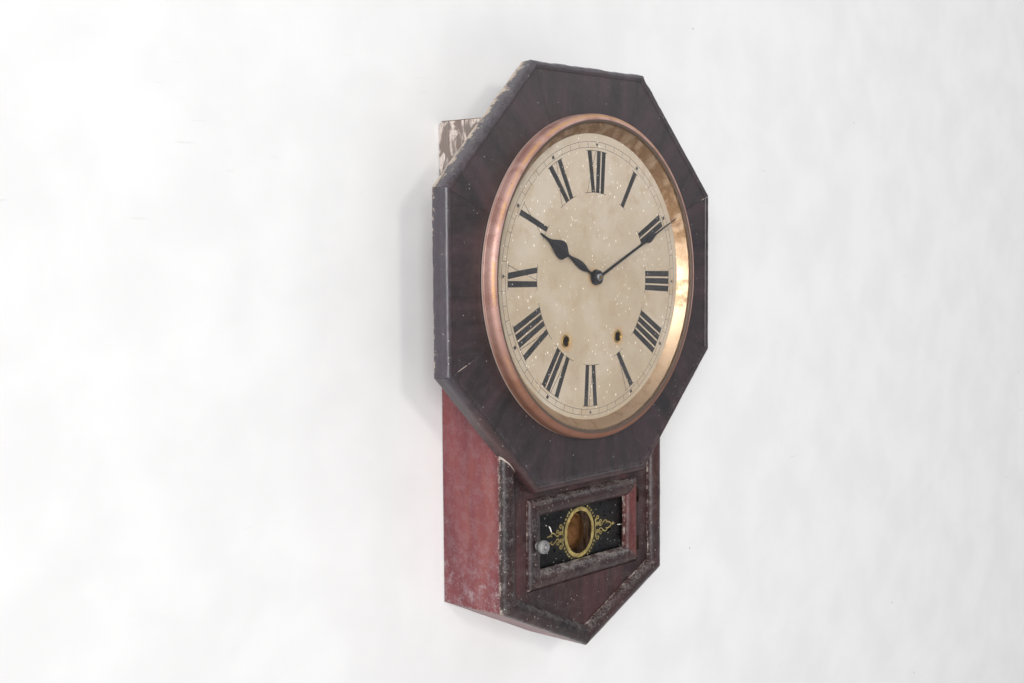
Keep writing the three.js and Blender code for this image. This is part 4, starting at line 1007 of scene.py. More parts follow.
@dataclass(frozen=True)
class SideWood:
    """The sides' varnish, with orange flames, bare wood at the top and chalk low down."""

    bare_above: float = 30.0
    low_edge: float = -333.3
    front_edge: float = 78.1

    def material(self) -> Material:
        """Returns the finish as a material."""
        g = Graph("side_wood")
        where = g.place()
        _, y, z = g.parts_of(where)
        flame = g.cloud(g.stretched(where, (1, 1, 0.16)), 34, 3, 0.5)
        fibre = g.cloud(g.stretched(where, (1, 1, 0.03)), 1.3, 5)
        rub = g.cloud(where, 12, 6, 0.3)
        chips = g.cloud(where, 2.4, 5)
        tone = g.total((flame, 1.0), (g.plus(fibre, -0.5), 0.25))
        colour = g.ramp(tone, (0.34, "683237"), (0.52, "7e4144"), (0.7, "8c4c4a"))
        warm = g.times(
            g.step(g.off(y, -0.052), 0.032, 0.0),
            g.step(g.off(z, -0.235), 0.075, 0.02),
            g.step(g.cloud(g.stretched(where, (1, 1, 0.3)), 30, 3), 0.36, 0.6),
        )
        colour = g.over(colour, warm, 0.7, "a8634f")
        low = g.step(z, (self.low_edge + 90) * MM, self.low_edge * MM)
        haze = g.step(g.total((rub, 0.6), (chips, 0.4)), 0.42, 0.62)
        haze = g.times(haze, g.plus(0.12, g.times(low, 0.2)))
        colour = g.over(colour, haze, 1.0, "b0a1a6")
        front = g.step(y, (9 - self.front_edge) * MM, -self.front_edge * MM)
        edge_dust = g.calc("MAXIMUM", front, g.step(y, -8 * MM, 0.0))
        chalk = g.total((low, 0.16), (edge_dust, 0.14), (rub, 0.9), (chips, 0.8))
        chalk = g.step(chalk, 1.06, 1.3)
        colour = g.over(colour, chalk, 0.6, "b3a29d")
        worn = g.step(g.total((g.value_of("wear"), 1.0), (chips, 1.0)), 1.2, 1.5)
        colour = g.over(colour, worn, 0.8, "a48f86")
        bare = g.step(z, (self.bare_above - 8) * MM, (self.bare_above + 12) * MM)
        dark = g.step(g.cloud(g.stretched(where, (1, 1, 0.5)), 17, 5, 1.4), 0.47, 0.56)
        raw = g.mix(g.step(fibre, 0.35, 0.65), tint("d2bdb0"), tint("f0e5da"))
        raw = g.over(raw, dark, 0.8, "6b5c57")
        raw = g.over(raw, g.step(chips, 0.56, 0.7), 0.7, "96705f")
        colour = g.mix(bare, colour, raw)
        dots = g.times(g.specks(where, 7, 0.09, 0.3), g.step(rub, 0.4, 0.6))
        colour = g.over(colour, dots, 0.7, "cfc3bc")
        rough = g.plus(0.45, g.times(g.calc("MAXIMUM", bare, chalk), 0.3))
        g.raised(g.total((fibre, 0.4), (rub, 0.5)), 0.2, 0.8)
        return g.dress(Base_Color=colour, Roughness=rough, Specular_IOR_Level=0.4, Coat_Weight=0.1)


@dataclass(frozen=True)
class Octagon:
    """The octagon of eight veneered rails round the dial."""

    apothem: float = 216.0
    opening: float = 143.0
    face: float = 90.4
    crest: float = 92.3
    crest_inward: float = 4.5
    bead_width: float = 8.1
    bead_foot: float = 85.5
    wall_depths: Row = (74.4, 78.0, 82.0)
    # wear on the outer walls of the upper left rails, partly real and partly painted sheen: its
    # grey and pale tints stand for the highlight on walls that face the light
    wall_wear_and_sheen: dict[int, Row] = field(
        default_factory=lambda: {2: (1.25, 1.05, 0.9), 3: (0.95, 0.75, 0.6)}
    )
    bead_steps: int = 8
    edge: float = 1.2
    columns: int = 64
    face_rows: int = 13
    scratches: dict[int, Flat] = field(default_factory=lambda: {4: (9.0, 34.0), 7: (1.0, 14.0)})

    def section(self, number: int) -> list[Row]:
        """Returns the rim's section as inward distance, depth and wear.

        Args:
            number: the rail's place; the upper left ones get the most wear, partly painted sheen.

        Returns:
            The rows from the outer wall to the foot of the bead.
        """
        outside = self.wall_wear_and_sheen.get(number, (0.6, 0.4, 0.4))
        rows = [(0.0, depth, wear) for depth, wear in zip(self.wall_depths, outside)]
        rise, fall = self.crest - self.bead_foot, self.crest - self.face
        roll = self.bead_width - self.crest_inward
        turns = [math.radians(90 * i / self.bead_steps) for i in range(self.bead_steps + 1)]
        # the bead's wear greys its crest: partly real wear, partly painted sheen
        for i, a in enumerate(turns):
            inward = self.crest_inward * (1 - math.cos(a))
            rows.append((inward, self.bead_foot + rise * math.sin(a), 0.8 - 0.05 * i))
        for i, a in enumerate(turns[1:], 1):
            depth = self.crest - fall * (1 - math.cos(a))
            rows.append((self.crest_inward + roll * math.sin(a), depth, 0.4 - 0.04 * i))
        return rows

    def rail(self, number: int) -> Shell:
        """Makes one rail.

        Args:
            number: its place, counted from the top anticlockwise.

        Returns:
            The rail's closed shell.
        """
        shares = np.linspace(-1, 1, self.columns + 1)
        shares = np.unique(np.concatenate([shares, [-0.995, -0.985, 0.985, 0.995]]))
        half = TURN / 16
        slip = SEAM / math.cos(half)
        sweep = shares * (half - math.asin(SEAM / self.opening))
        rise = self.apothem - self.opening * np.cos(sweep)
        hole = np.stack([self.opening * np.sin(sweep), rise], axis=-1)
        rows = []
        for inward, depth, wear in self.section(number):
            reach = (self.apothem - inward) * math.tan(half) - slip
            rows.append((np.stack([shares * reach, inward + 0 * shares], -1), depth, wear))
        outer = rows[-1][0]
        for i in range(1, self.face_rows + 1):
            share = i / self.face_rows if i < self.face_rows else 0.99
            rows.append((outer + (hole - outer) * share, self.face, 0.06))
        for a in (math.radians(degrees) for degrees in (30, 60, 90)):
            line = hole + (outer - hole) * 0.012 * (1 - math.sin(a))
            rows.append((line, self.face - self.edge * (1 - math.cos(a)), 0.3))
        back = self.wall_depths[0]
        rows += [(hole, back, 0.1), (outer * [1, 0] + [0, self.bead_width], back, 0.1)]
        lines, depths, wears = zip(*rows)
        flats = np.array(lines)
        along, inward = flats[..., :1], flats[..., 1:]
        depth = np.array(depths)[:, None] + 0 * shares
        near = (1 - np.abs(shares))[None, :] * self.apothem * math.tan(half)
        wear = np.array(wears)[:, None] + 0.1 * np.clip(1 - near / 2.5, 0, 1)
        low, high = self.scratches.get(number, (0, 0))
        bare = (inward[..., 0] > low) & (inward[..., 0] < high) & (depth > self.face - 1)
        wear = np.where(bare & (near < 1) & (shares * (5 - number) < 0), 1.1, wear)
        steps = np.abs(np.diff(flats[:, 30, 1])) + np.abs(np.diff(depths))
        run = np.concatenate([[0.0], np.cumsum(steps)])[:, None] + 0 * shares
        grain = np.stack([run, along[..., 0] + 400 * number, 0 * depth], axis=-1)
        angle = math.radians(45 * (number - 1))
        side = np.array([-math.cos(angle), -math.sin(angle)])
        out = np.array([-math.sin(angle), math.cos(angle)])
        spots = out * (self.apothem - inward) + side * along
        shell = Shell()
        shell.bar(facing_front(spots, depth), wear, grain)
        return shell

    def build(self, finishes: Finishes) -> None:
        """Makes the eight rails."""
        for number in range(1, 9):
            self.rail(number).build(
                f"octagon_veneer_{number}",
                finishes.octagon,
                "case",
                "front_wood",
                (f"octagon_rail_{number}",),
                battered=0.3,
            )


@dataclass(frozen=True)
class Trunk:
    """The case behind and below the octagon, with its mouldings."""

    half_width: float = 132.6
    top: float = 159.2
    shoulder: float = -333.3
    tip: float = -394.0
    front: float = 78.1
    notch: float = 74.1
    board: float = 10.0
    corner: float = 6.0
    rim: float = 216.3
    moulding_width: float = 20.3
    moulding_height: float = 8.1
    mitre_fade: float = 40.0
    mitre_gap: float = 0.25
    climb_step: float = 9.0
    edge: float = 0.8

    def outline(self) -> tuple[Flat, ...]:
        """Returns the case's outline, anticlockwise from its upper left corner."""
        return (
            (-self.half_width, self.top),
            (-self.half_width, self.shoulder),
            (0.0, self.tip),
            (self.half_width, self.shoulder),
            (self.half_width, self.top),
        )

    def slant(self, x: float) -> float:
        """Returns the height of the octagon's lower slanted edge at a given x."""
        return abs(x) - self.rim * math.sqrt(2)

    def climb(self, depth: float, start: float, end: float) -> list[Flat]:
        """Returns points at one depth between two heights, about one climb step apart."""
        count = round(abs(end - start) / self.climb_step) + 1
        return [(depth, z) for z in np.linspace(start, end, count)]

    def side_board(self, sign: int) -> Shell:
        """Makes a side board, in front of the wall and behind the octagon.

        Args:
            sign: -1 for the left side and 1 for the right.

        Returns:
            The board's closed shell.
        """
        joint = (self.shoulder - self.tip) / self.half_width
        notch = self.slant(self.half_width)
        corner = [
            (self.corner * (1 - math.cos(a)), self.top - self.corner * (1 - math.sin(a)))
            for a in (math.radians(18 * i) for i in range(6))
        ]
        outline = [*corner, *self.climb(self.notch, self.top, notch), (self.front, notch)]
        outline += self.climb(self.front, notch - 18, self.shoulder)[:-1]
        outline.append((self.front, self.shoulder))
        outline += self.climb(0.0, self.shoulder, self.top - self.corner)[:-1]

        def place(flat: np.ndarray, height: np.ndarray) -> np.ndarray:
            """Places a point of the board from its depth, height and inward distance."""
            rise = flat[..., 1]
            z = rise - np.where(np.abs(rise - notch) < 4, height, 0.0)
            z = z - np.where(rise < self.shoulder + 4, height * joint, 0.0)
            high = (rise - self.top + self.mitre_fade) / (self.mitre_fade - self.corner)
            z = z - np.clip(high, 0, 1) * (height + self.mitre_gap)
            return np.stack([sign * (self.half_width - height), -flat[..., 0], z], axis=-1)

        return slab_shell(outline[::-1], 0.0, self.board, 0.7, place, zone=3.0, exposed=0.8)

    def build(self, finishes: Finishes) -> None:
        """Makes the boards and the four mouldings."""
        outline = self.outline()
        for sign, side in ((-1, "left"), (1, "right")):
            self.side_board(sign).build(
                f"side_board_{side}", finishes.side, "case", "side_wood", (f"case_side_{side}",)
            )
        front, edge, board = self.front, self.edge, self.board
        flat_section = ((0.0, 0.0, 0.6), (0.0, edge, 0.3), (0.0, front - edge, 0.6))
        flat_section += ((edge, front, 0.6), (board, front, 0.2), (board, 0.0, 0.2))
        for side, name in ((1, "left"), (2, "right")):
            Mitred(outline, side, flat_section, end_wear=0.3).shell().build(
                f"bottom_board_{name}",
                finishes.side,
                "case",
                "side_wood",
                (f"case_bottom_{name}",),
                battered=0.2,
            )
        base = front + 0.3
        rounded = half_round(self.moulding_width, self.moulding_height, base, 18)
        rounded[0] = (0.0, base, 0.9)
        for side, name in enumerate(("left", "lower_left", "lower_right", "right")):
            first = name == "left"
            member = Mitred(
                outline,
                side,
                tuple(rounded),
                first_end=self.slant if first else None,
                last_end=self.slant if name == "right" else None,
                steps=90,
                end_wear=0.4,
                first_wear=1.0 if first else 0.0,
            )
            member.shell().build(
                f"moulding_{name}",
                finishes.dusty_moulding if first else finishes.moulding,
                "case",
                "front_wood",
                (f"drop_moulding_{name}",),
                battered=0.5,
            )
        dress_nodes(("backboard", "case_top"), finishes.raw)
        dress_nodes(("drop_front_panel",), finishes.panel)


@dataclass(frozen=True)
class Door:
    """The small glazed door with its gilt oval and its knob."""

    half_width: float = 91.0
    top: float = -223.9
    bottom: float = -318.7
    rail: float = 18.8
    base: float = 76.9
    crest: float = 7.1
    back: float = 67.2
    glass_front: float = 73.8
    glass_thickness: float = 2.0
    rebate: float = 4.0
    oval: Flat = (0.6, -272.5)
    oval_half: Flat = (25.0, 27.2)
    oval_ring: float = 4.1
    knob: Flat = (-81.6, -271.3)
    paint: float = 0.12
    paint_overlap: float = 1.2
    scratches: tuple[tuple[float, tuple[Flat, ...]], ...] = (
        (0.75, ((-49.6, -258.2), (-48.2, -259.6), (-46.6, -262.4), (-45.4, -265.2))),
        (0.4, ((-54.6, -256.4), (-52.8, -257.2))),
        (0.45, ((65.8, -275.0), (69.0, -275.4), (72.2, -275.7))),
    )

    def outline(self) -> tuple[Flat, ...]:
        """Returns the door's outline, anticlockwise from its upper right corner."""
        return (
            (self.half_width, self.top),
            (-self.half_width, self.top),
            (-self.half_width, self.bottom),
            (self.half_width, self.bottom),
        )

    def build_frame(self, finishes: Finishes) -> None:
        """Makes the two rails and the two stiles."""
        stop = self.rail - self.rebate
        section = [(0.0, self.back, 0.2), (0.0, self.base - 0.3, 0.9)]
        section += half_round(self.rail, self.crest, self.base, 18)[1:-1]
        section += [(self.rail, self.base, 1.0), (self.rail, self.glass_front + 0.3, 0.8)]
        section += [(stop, self.glass_front + 0.3, 0.1), (stop, self.back, 0.1)]
        names = ("door_rail_top", "door_stile_left", "door_rail_bottom", "door_stile_right")
        dusty = finishes.dusty_moulding
        looks = (finishes.moulding, dusty, dusty, finishes.red_moulding)
        for side, (name, look) in enumerate(zip(names, looks)):
            member = Mitred(self.outline(), side, tuple(section), end_wear=0.5)
            member.shell().build(f"{name}_wood", look, "door", "front_wood", (name,), battered=0.35)

    def oval_line(self, grow: float, count: int = 96) -> list[Flat]:
        """Returns the oval, grown by a distance, anticlockwise."""
        half_x, half_z = self.oval_half
        return ring_of(self.oval, (half_x + grow, half_z + grow), count)

    def pane_line(self, x: float, top: float, bottom: float, count: int) -> list[Flat]:
        """Returns points round the pane's edge, at even angles seen from the oval's centre.

        Args:
            x: half the pane's width.
            top: the height of its upper edge.
            bottom: the height of its lower edge.
            count: the number of points.

        Returns:
            The points, anticlockwise from the right.
        """
        cx, cz = self.oval

        def reach(way: float, low: float, high: float) -> float:
            """Returns how far a line goes before it meets the lower or the higher edge."""
            return math.inf if abs(way) < 1e-9 else (high if way > 0 else low) / way

        line = []
        for dx, dz in ring_of(CENTRE, (1.0, 1.0), count):
            length = min(reach(dx, -x - cx, x - cx), reach(dz, bottom - cz, top - cz))
            line.append((cx + dx * length, cz + dz * length))
        return line

    def build_glass(self, finishes: Finishes) -> None:
        """Makes the pane, the black paint behind it, the gilt ornament and three scratches."""
        margin = self.rail - self.rebate + 0.3
        x, top, bottom = self.half_width - margin, self.top - margin, self.bottom + margin
        back = self.glass_front - self.glass_thickness
        corners = [(x, top), (-x, top), (-x, bottom), (x, bottom)]
        pane = slab_shell(corners, back + 0.35, self.glass_front, 0.25).build(
            "door_pane", finishes.door_glass, "door", "backed_glass", ("door_glass",)
        )
        pane.visible_shadow = False
        count = 192
        edges = (self.pane_line(x, top, bottom, count), self.oval_line(-self.paint_overlap, count))
        paint = Shell()
        paint.leaf(edges, (back, back + self.paint), closed=True)
        paint.build("door_glass_paint", finishes.backing, "door", "backed_glass")
        front = back + self.paint + 0.01
        ornament = Ornament(self)
        ornament.shell(front).build("door_gilding", finishes.gilt, "door", "backed_glass")
        marks = Shell()
        for width, path in self.scratches:
            ornament.ribbon(marks, smooth_line(path), front, width)
        marks.build("door_glass_scratches", finishes.scratch, "door", "backed_glass")

    def build_knob(self, finishes: Finishes) -> None:
        """Makes the turned knob with its rings, and the latch arm behind the stile."""
        profile = [(0.0, 65.1), (1.7, 65.1), (1.7, 84.0), (3.7, 84.05, 1), (4.0, 84.5, 1)]
        profile += [(3.6, 85.1), (2.7, 85.4), (2.5, 87.0), (2.9, 88.2), (5.0, 88.9), (6.4, 89.7)]
        profile += [(6.9, 91.0, 1), (6.9, 93.2, 1), (6.5, 94.6, 1), (5.8, 95.4, 1), (5.2, 95.1)]
        profile += [(4.8, 94.8), (4.4, 95.1, 1), (3.8, 95.4, 1), (3.3, 94.9), (2.9, 94.8)]
        profile += [(2.4, 95.4), (1.4, 96.1, 1), (0.0, 96.3, 1)]
        shell = turned_shell(self.knob, profile, 48)
        x, z = self.knob
        arm = [(x + 3.2, z + 16), (x - 3.2, z + 16), (x - 3.2, z - 3.2), (x + 3.2, z - 3.2)]
        slab_shell(arm, 65.1, 66.9, 0.4, shell=shell)
        shell.build("knob_with_latch", finishes.pewter, "knob", "pewter", ("door_knob",))


@dataclass(frozen=True)
class Ornament:
    """The gilt oval ring on the door's glass, with a dotted border and a scroll on each side."""

    door: Door
    dot: float = 1.25
    line: float = 0.68
    dot_angles: tuple[float, ...] = (27, 35.5, 44, 52.5, 61)
    dot_room: Flat = (2.7, 2.5)
    curl_steps: int = 22

    def ribbon(self, shell: Shell, path: Sequence[Flat], depth: float, width: float) -> None:
        """Adds a flat gilt line along a path.

        Args:
            shell: the shell that takes it.
            path: the points of its middle line.
            depth: the depth of its back.
            width: half its width at the middle, less at the ends.
        """
        line = np.array(path)
        turns = np.linspace(0.15, math.pi - 0.15, len(line))
        swell = across_of(line) * (width * (0.55 + 0.45 * np.sin(turns)))[:, None]
        shell.leaf((line + swell, line - swell), (depth, depth + LEAF))

    def curl(self, centre: Flat, radius: float, start: float, turns: float) -> list[Flat]:
        """Returns a spiral that winds in round a centre, from a start angle in degrees."""
        path = []
        for share in (i / self.curl_steps for i in range(self.curl_steps + 1)):
            a = math.radians(start) + turns * TURN * share
            r = radius * (1 - 0.72 * share)
            path.append((centre[0] + r * math.cos(a), centre[1] + r * math.sin(a)))
        return path

    def shell(self, depth: float) -> Shell:
        """Makes the whole ornament as thin leaf.

        Args:
            depth: the depth of the leaf's back.

        Returns:
            The shell of all its parts.
        """
        shell = Shell()
        door, face = self.door, depth + LEAF
        shell.leaf((door.oval_line(0), door.oval_line(-door.oval_ring)), (depth, face), closed=True)
        cx, cz = door.oval
        disc = [(0, depth), (self.dot, depth), (self.dot, face), (0, face)]
        for side in (-1, 1):
            for up in (-1, 1):
                for a in (math.radians(degrees) for degrees in self.dot_angles):
                    x = cx + side * (door.oval_half[0] + self.dot_room[0]) * math.cos(a)
                    z = cz + up * (door.oval_half[1] + self.dot_room[1]) * math.sin(a)
                    turned_shell((x, z), disc, 12, shell)
                self.scroll(shell, depth, side, up)
        tip = [(cx + 54.0 + 1.1 * i, cz) for i in range(7)]
        self.ribbon(shell, tip, depth, 0.9)
        return shell

    def scroll(self, shell: Shell, depth: float, side: int, up: int) -> None:
        """Adds one quarter of the scroll work.

        Args:
            shell: the shell that takes it.
            depth: the depth of the leaf's back.
            side: -1 for the left and 1 for the right.
            up: -1 for below the middle and 1 for above.
        """
        cx, cz = self.door.oval

        def put(path: Sequence[Flat], width: float) -> None:
            """Adds a path given for the upper right quarter."""
            self.ribbon(shell, [(cx + side * x, cz + up * z) for x, z in path], depth, width)

        end = [(46.4, 3.3), (49.5, 3.6), (53.2, 2.8)]
        if side > 0:
            end = [(46.4, 3.3), (49.0, 3.4), (51.6, 2.6), (54.6, 1.0)]
        vine = [(27.4, 1.9), (30.6, 5.6), (33.0, 4.2), (34.8, 1.7), (37.6, 2.0), (41.0, 4.7)]
        vine += [(44.0, 6.0), (46.7, 5.0), (46.6, 3.0), (44.9, 2.8)]
        put(smooth_line(vine), self.line)
        put(smooth_line([(26.4, 10.6), (27.7, 7.0), (27.9, 3.5), (27.0, 0.4)]), self.line * 1.3)
        put(smooth_line(end), self.line)
        put(self.curl((31.0, 10.7), 2.7, 235, -1.15), self.line)
        put(self.curl((36.1, 6.0), 2.35, 235, -1.15), self.line)
        put(self.curl((30.9, 3.6), 1.7, 120, 1.1), self.line * 0.8)


@dataclass(frozen=True)
class Dial:
    """The painted dial, its printed figures and its eyelets."""

    radius: float = 153.0
    back: float = 90.7
    front: float = 92.3
    print_centre: Flat = (0.0, -1.9)
    print_turn: float = 2.6
    inner: float = 90.0
    outer: float = 133.0
    centre_hole: float = 5.2
    eyelet_hole: float = 4.6
    eyelet: float = 6.7
    winding: tuple[Flat, ...] = ((40.4, -64.3), (-45.6, -64.3))
    bar: float = 6.2
    pitch: float = 8.1
    wide: float = 14.6
    hair: float = 0.55
    mark: float = 3.4
    mark_radius: float = 138.9
    track: Flat = (136.2, 142.2)
    minute_ends: Flat = (136.3, 142.1)

    def plate(self) -> Shell:
        """Makes the plate, a disc with three holes, as a triangulated flat solid."""
        work = bmesh.new()
        rings = [(self.radius, CENTRE, 180), (self.centre_hole, CENTRE, 40)]
        rings += [(self.eyelet - 0.4, centre, 40) for centre in self.winding]
        edges = []
        for radius, centre, count in rings:
            loop = [work.verts.new((x, z, 0)) for x, z in ring_of(centre, (radius, radius), count)]
            edges += [work.edges.new((loop[i], loop[(i + 1) % count])) for i in range(count)]
        bmesh.ops.triangle_fill(work, use_beauty=True, edges=edges)
        work.verts.index_update()
        flat = np.array([v.co[:2] for v in work.verts])
        faces = [tuple(v.index for v in f.verts) for f in work.faces]
        walls = [tuple(v.index for v in e.verts) for e in work.edges if len(e.link_faces) == 1]
        work.free()
        shell = Shell()
        count = len(flat)
        for depth in (self.back, self.front):
            shell.sheet(facing_front(flat[None], np.full((1, count), depth)))
        shell.faces = [*faces, *(tuple(i + count for i in f) for f in faces)]
        shell.faces += [(a, b, b + count, a + count) for a, b in walls]
        return shell

    def polar(self, u: float, r: float, hour: float) -> Flat:
        """Places a point of the print.

        Args:
            u: its distance to the right of the figure's middle line.
            r: its distance from the print's centre.
            hour: the hour whose line is the middle line.

        Returns:
            The point's x and z.
        """
        swell = 0.93 + 0.1 * (r - self.inner) / (self.outer - self.inner)
        angle = math.radians(30 * hour + self.print_turn) + u * swell / r
        cx, cz = self.print_centre
        return (cx + r * math.sin(angle), cz + r * math.cos(angle))

    def stroke(
        self, shell: Shell, hour: float, ends: tuple[Flat, Flat], width: float, lift: float = 0.0
    ) -> None:
        """Adds one stroke of a figure, from the inner to the outer circle.

        Args:
            shell: the shell that takes it.
            hour: the figure's hour.
            ends: sideways place and radius of its inner and its outer end.
            width: its width.
            lift: how far its face stands above that of the others.
        """
        (u0, r0), (u1, r1) = ends
        edges = ([], [])
        for share in np.linspace(0, 1, 9):
            u, r = u0 + (u1 - u0) * share, r0 + (r1 - r0) * share
            for edge, shift in zip(edges, (-width / 2, width / 2)):
                edge.append(self.polar(u + shift, r, hour))
        shell.leaf(edges, (self.front, self.front + 0.05 + lift))

    def band(self, shell: Shell, radius: float, start: float, end: float, width: float) -> None:
        """Adds part of a printed circle, between two angles in degrees clockwise from twelve."""
        count = max(4, math.ceil(abs(end - start) / 2))
        angles = np.radians(np.linspace(start, end, count + 1) + self.print_turn)
        cx, cz = self.print_centre
        edges = [
            np.stack([cx + r * np.sin(angles), cz + r * np.cos(angles)], -1)
            for r in (radius - width / 2, radius + width / 2)
        ]
        shell.leaf(edges, (self.front, self.front + 0.04))

    def figure(self, shell: Shell, hour: int, letters: str) -> None:
        """Adds one figure, built from upright, slanted and crossed strokes.

        Args:
            shell: the shell that takes it.
            hour: the figure's hour.
            letters: the figure in capital letters.
        """
        advance = {"I": self.pitch, "V": self.wide, "X": self.wide}
        total = sum(advance[letter] for letter in letters)
        place = -total / 2
        for letter in letters:
            half = advance[letter] / 2
            middle = place + half
            lean = half - self.bar / 2 - 0.5
            bars = {"I": (0.0, 0.0), "V": (0.6, -lean), "X": (lean, -lean)}
            hairs = {"V": (1.6, half - 0.8), "X": (0.4 - half, half - 0.6)}
            for strokes, width, lift in ((bars, self.bar, 0.0), (hairs, self.hair, 0.01)):
                if letter in strokes:
                    low, high = (middle + shift for shift in strokes[letter])
                    self.stroke(shell, hour, ((low, self.inner), (high, self.outer)), width, lift)
            place += advance[letter]
        for radius in (self.inner, self.outer):
            spread = math.degrees((total / 2 + 1.8) / radius)
            self.band(shell, radius, 30 * hour - spread, 30 * hour + spread, self.hair)

    def printing(self) -> Shell:
        """Returns all the printing as thin raised ink."""
        shell = Shell()
        figures = ("XII", "I", "II", "III", "IIII", "V", "VI", "VII", "VIII", "IX", "X", "XI")
        size, middle = self.mark, self.mark_radius
        for hour, letters in enumerate(figures):
            self.figure(shell, hour, letters)
            if hour % 3:
                self.stroke(shell, hour, ((0, middle - size / 2), (0, middle + size / 2)), size)
            else:
                for i in range(6):
                    low = middle - size / 2 + size * i / 6
                    width = size * 1.25 * (i + 0.6) / 6
                    self.stroke(shell, hour, ((0, low), (0, low + size / 6)), width)
        for radius in self.track:
            for start in (0, 90, 180, 270):
                self.band(shell, radius, start, start + 89.99, 0.42)
        low, high = self.minute_ends
        for minute in range(60):
            if minute % 5:
                self.stroke(shell, minute / 5, ((0, low), (0, high)), 0.4)
        return shell

    def build(self, finishes: Finishes) -> None:
        """Makes the plate, its print and its eyelets."""
        self.plate().build("dial_face", finishes.dial, "case", "dial_paint", ("dial_plate",))
        self.printing().build("dial_print", finishes.ink, "case", "dial_paint")
        bore, back = self.eyelet_hole, self.back
        profile = [(bore, back), (bore, 91.8), (bore + 0.3, 92.6), (5.4, 93.05, 1), (6.1, 92.9, 1)]
        profile += [(6.6, 92.5), (self.eyelet, 92.32), (self.eyelet, back), (bore, back)]
        for side, centre in zip(("right", "left"), self.winding):
            turned_shell(centre, profile, 40).build(
                f"eyelet_{side}", finishes.eyelet, "case", "dial_paint"
            )


@dataclass(frozen=True)
class Hand:
    """One flat hand on its boss, shaped by shares of its length and half width."""

    name: str
    body: str
    depth: float
    turn: float
    boss: float
    bore: float
    length: float
    half_width: float
    shares: tuple[Flat, ...]
    thickness: float = 0.8

    def smooth(self) -> list[Flat]:
        """Returns the right half of the outline, rounded between its given points."""
        knots = [(a * self.length, w * self.half_width) for a, w in self.shares]
        return [(a, max(0.12, w)) for a, w in smooth_line(knots)]

    def build(self, finishes: Finishes) -> None:
        """Makes the blade with its soft edges, and its boss."""
        half = self.smooth()
        start = math.sqrt(max(0.0, (self.boss - 0.6) ** 2 - half[0][1] ** 2))
        half = [(max(a, start), w) for a, w in half if a > start * 0.6]
        line = [(w, a) for a, w in half] + [(-w, a) for a, w in reversed(half)]
        angle = math.radians(self.turn)
        cos, sin = math.cos(angle), math.sin(angle)
        turned = [(x * cos + z * sin, z * cos - x * sin) for x, z in line]
        low, front, rim = self.depth - 0.4, self.depth + self.thickness, self.boss
        shell = slab_shell(turned, self.depth, front, 0.11)
        profile = [(self.bore, low), (rim - 0.5, low), (rim, self.depth - 0.1)]
        profile += [(rim, front - 0.2, 1), (rim - 0.4, front + 0.06, 1)]
        profile += [(rim - 1.5, front + 0.12), (self.bore, front + 0.12), (self.bore, low)]
        turned_shell(CENTRE, profile, 56, shell)
        name = f"{self.name}_blade"
        shell.build(name, finishes.black, self.body, "hand_black", (self.name,), sharp=50)


def build_hands(finishes: Finishes) -> None:
    """Makes both hands and the hexagon nut on the centre arbor."""
    Hand(
        name="hour_hand",
        body="hour",
        depth=95.3,
        turn=297.6,
        boss=8.2,
        bore=3.9,
        length=99.0,
        half_width=9.5,
        shares=(
            (0.06, 0.2), (0.147, 0.15), (0.21, 0.36), (0.283, 0.45), (0.36, 0.38),
            (0.435, 0.22), (0.503, 0.14), (0.535, 0.4), (0.57, 0.8), (0.6, 0.97),
            (0.63, 1), (0.675, 0.92), (0.72, 0.74), (0.765, 0.52), (0.82, 0.27),
            (0.88, 0.15), (0.95, 0.12), (0.99, 0.1), (1, 0.04),
        ),
    ).build(finishes)
    Hand(
        name="minute_hand",
        body="hands",
        depth=98.9,
        turn=65.9,
        boss=7.3,
        bore=2.4,
        length=150.5,
        half_width=4.4,
        shares=(
            (0.03, 0.36), (0.3, 0.34), (0.57, 0.32), (0.6, 0.5), (0.625, 0.85), (0.645, 1),
            (0.665, 0.88), (0.7, 0.5), (0.74, 0.22), (0.85, 0.15), (0.98, 0.09), (1, 0.03),
        ),
    ).build(finishes)
    nut = slab_shell(ring_of(CENTRE, (4.2, 4.2), 6, 0.3), 100.05, 101.4, 0.3)
    nut.build("hand_nut_steel", finishes.steel, "hands", "brass", ("hand_nut",), sharp=30)


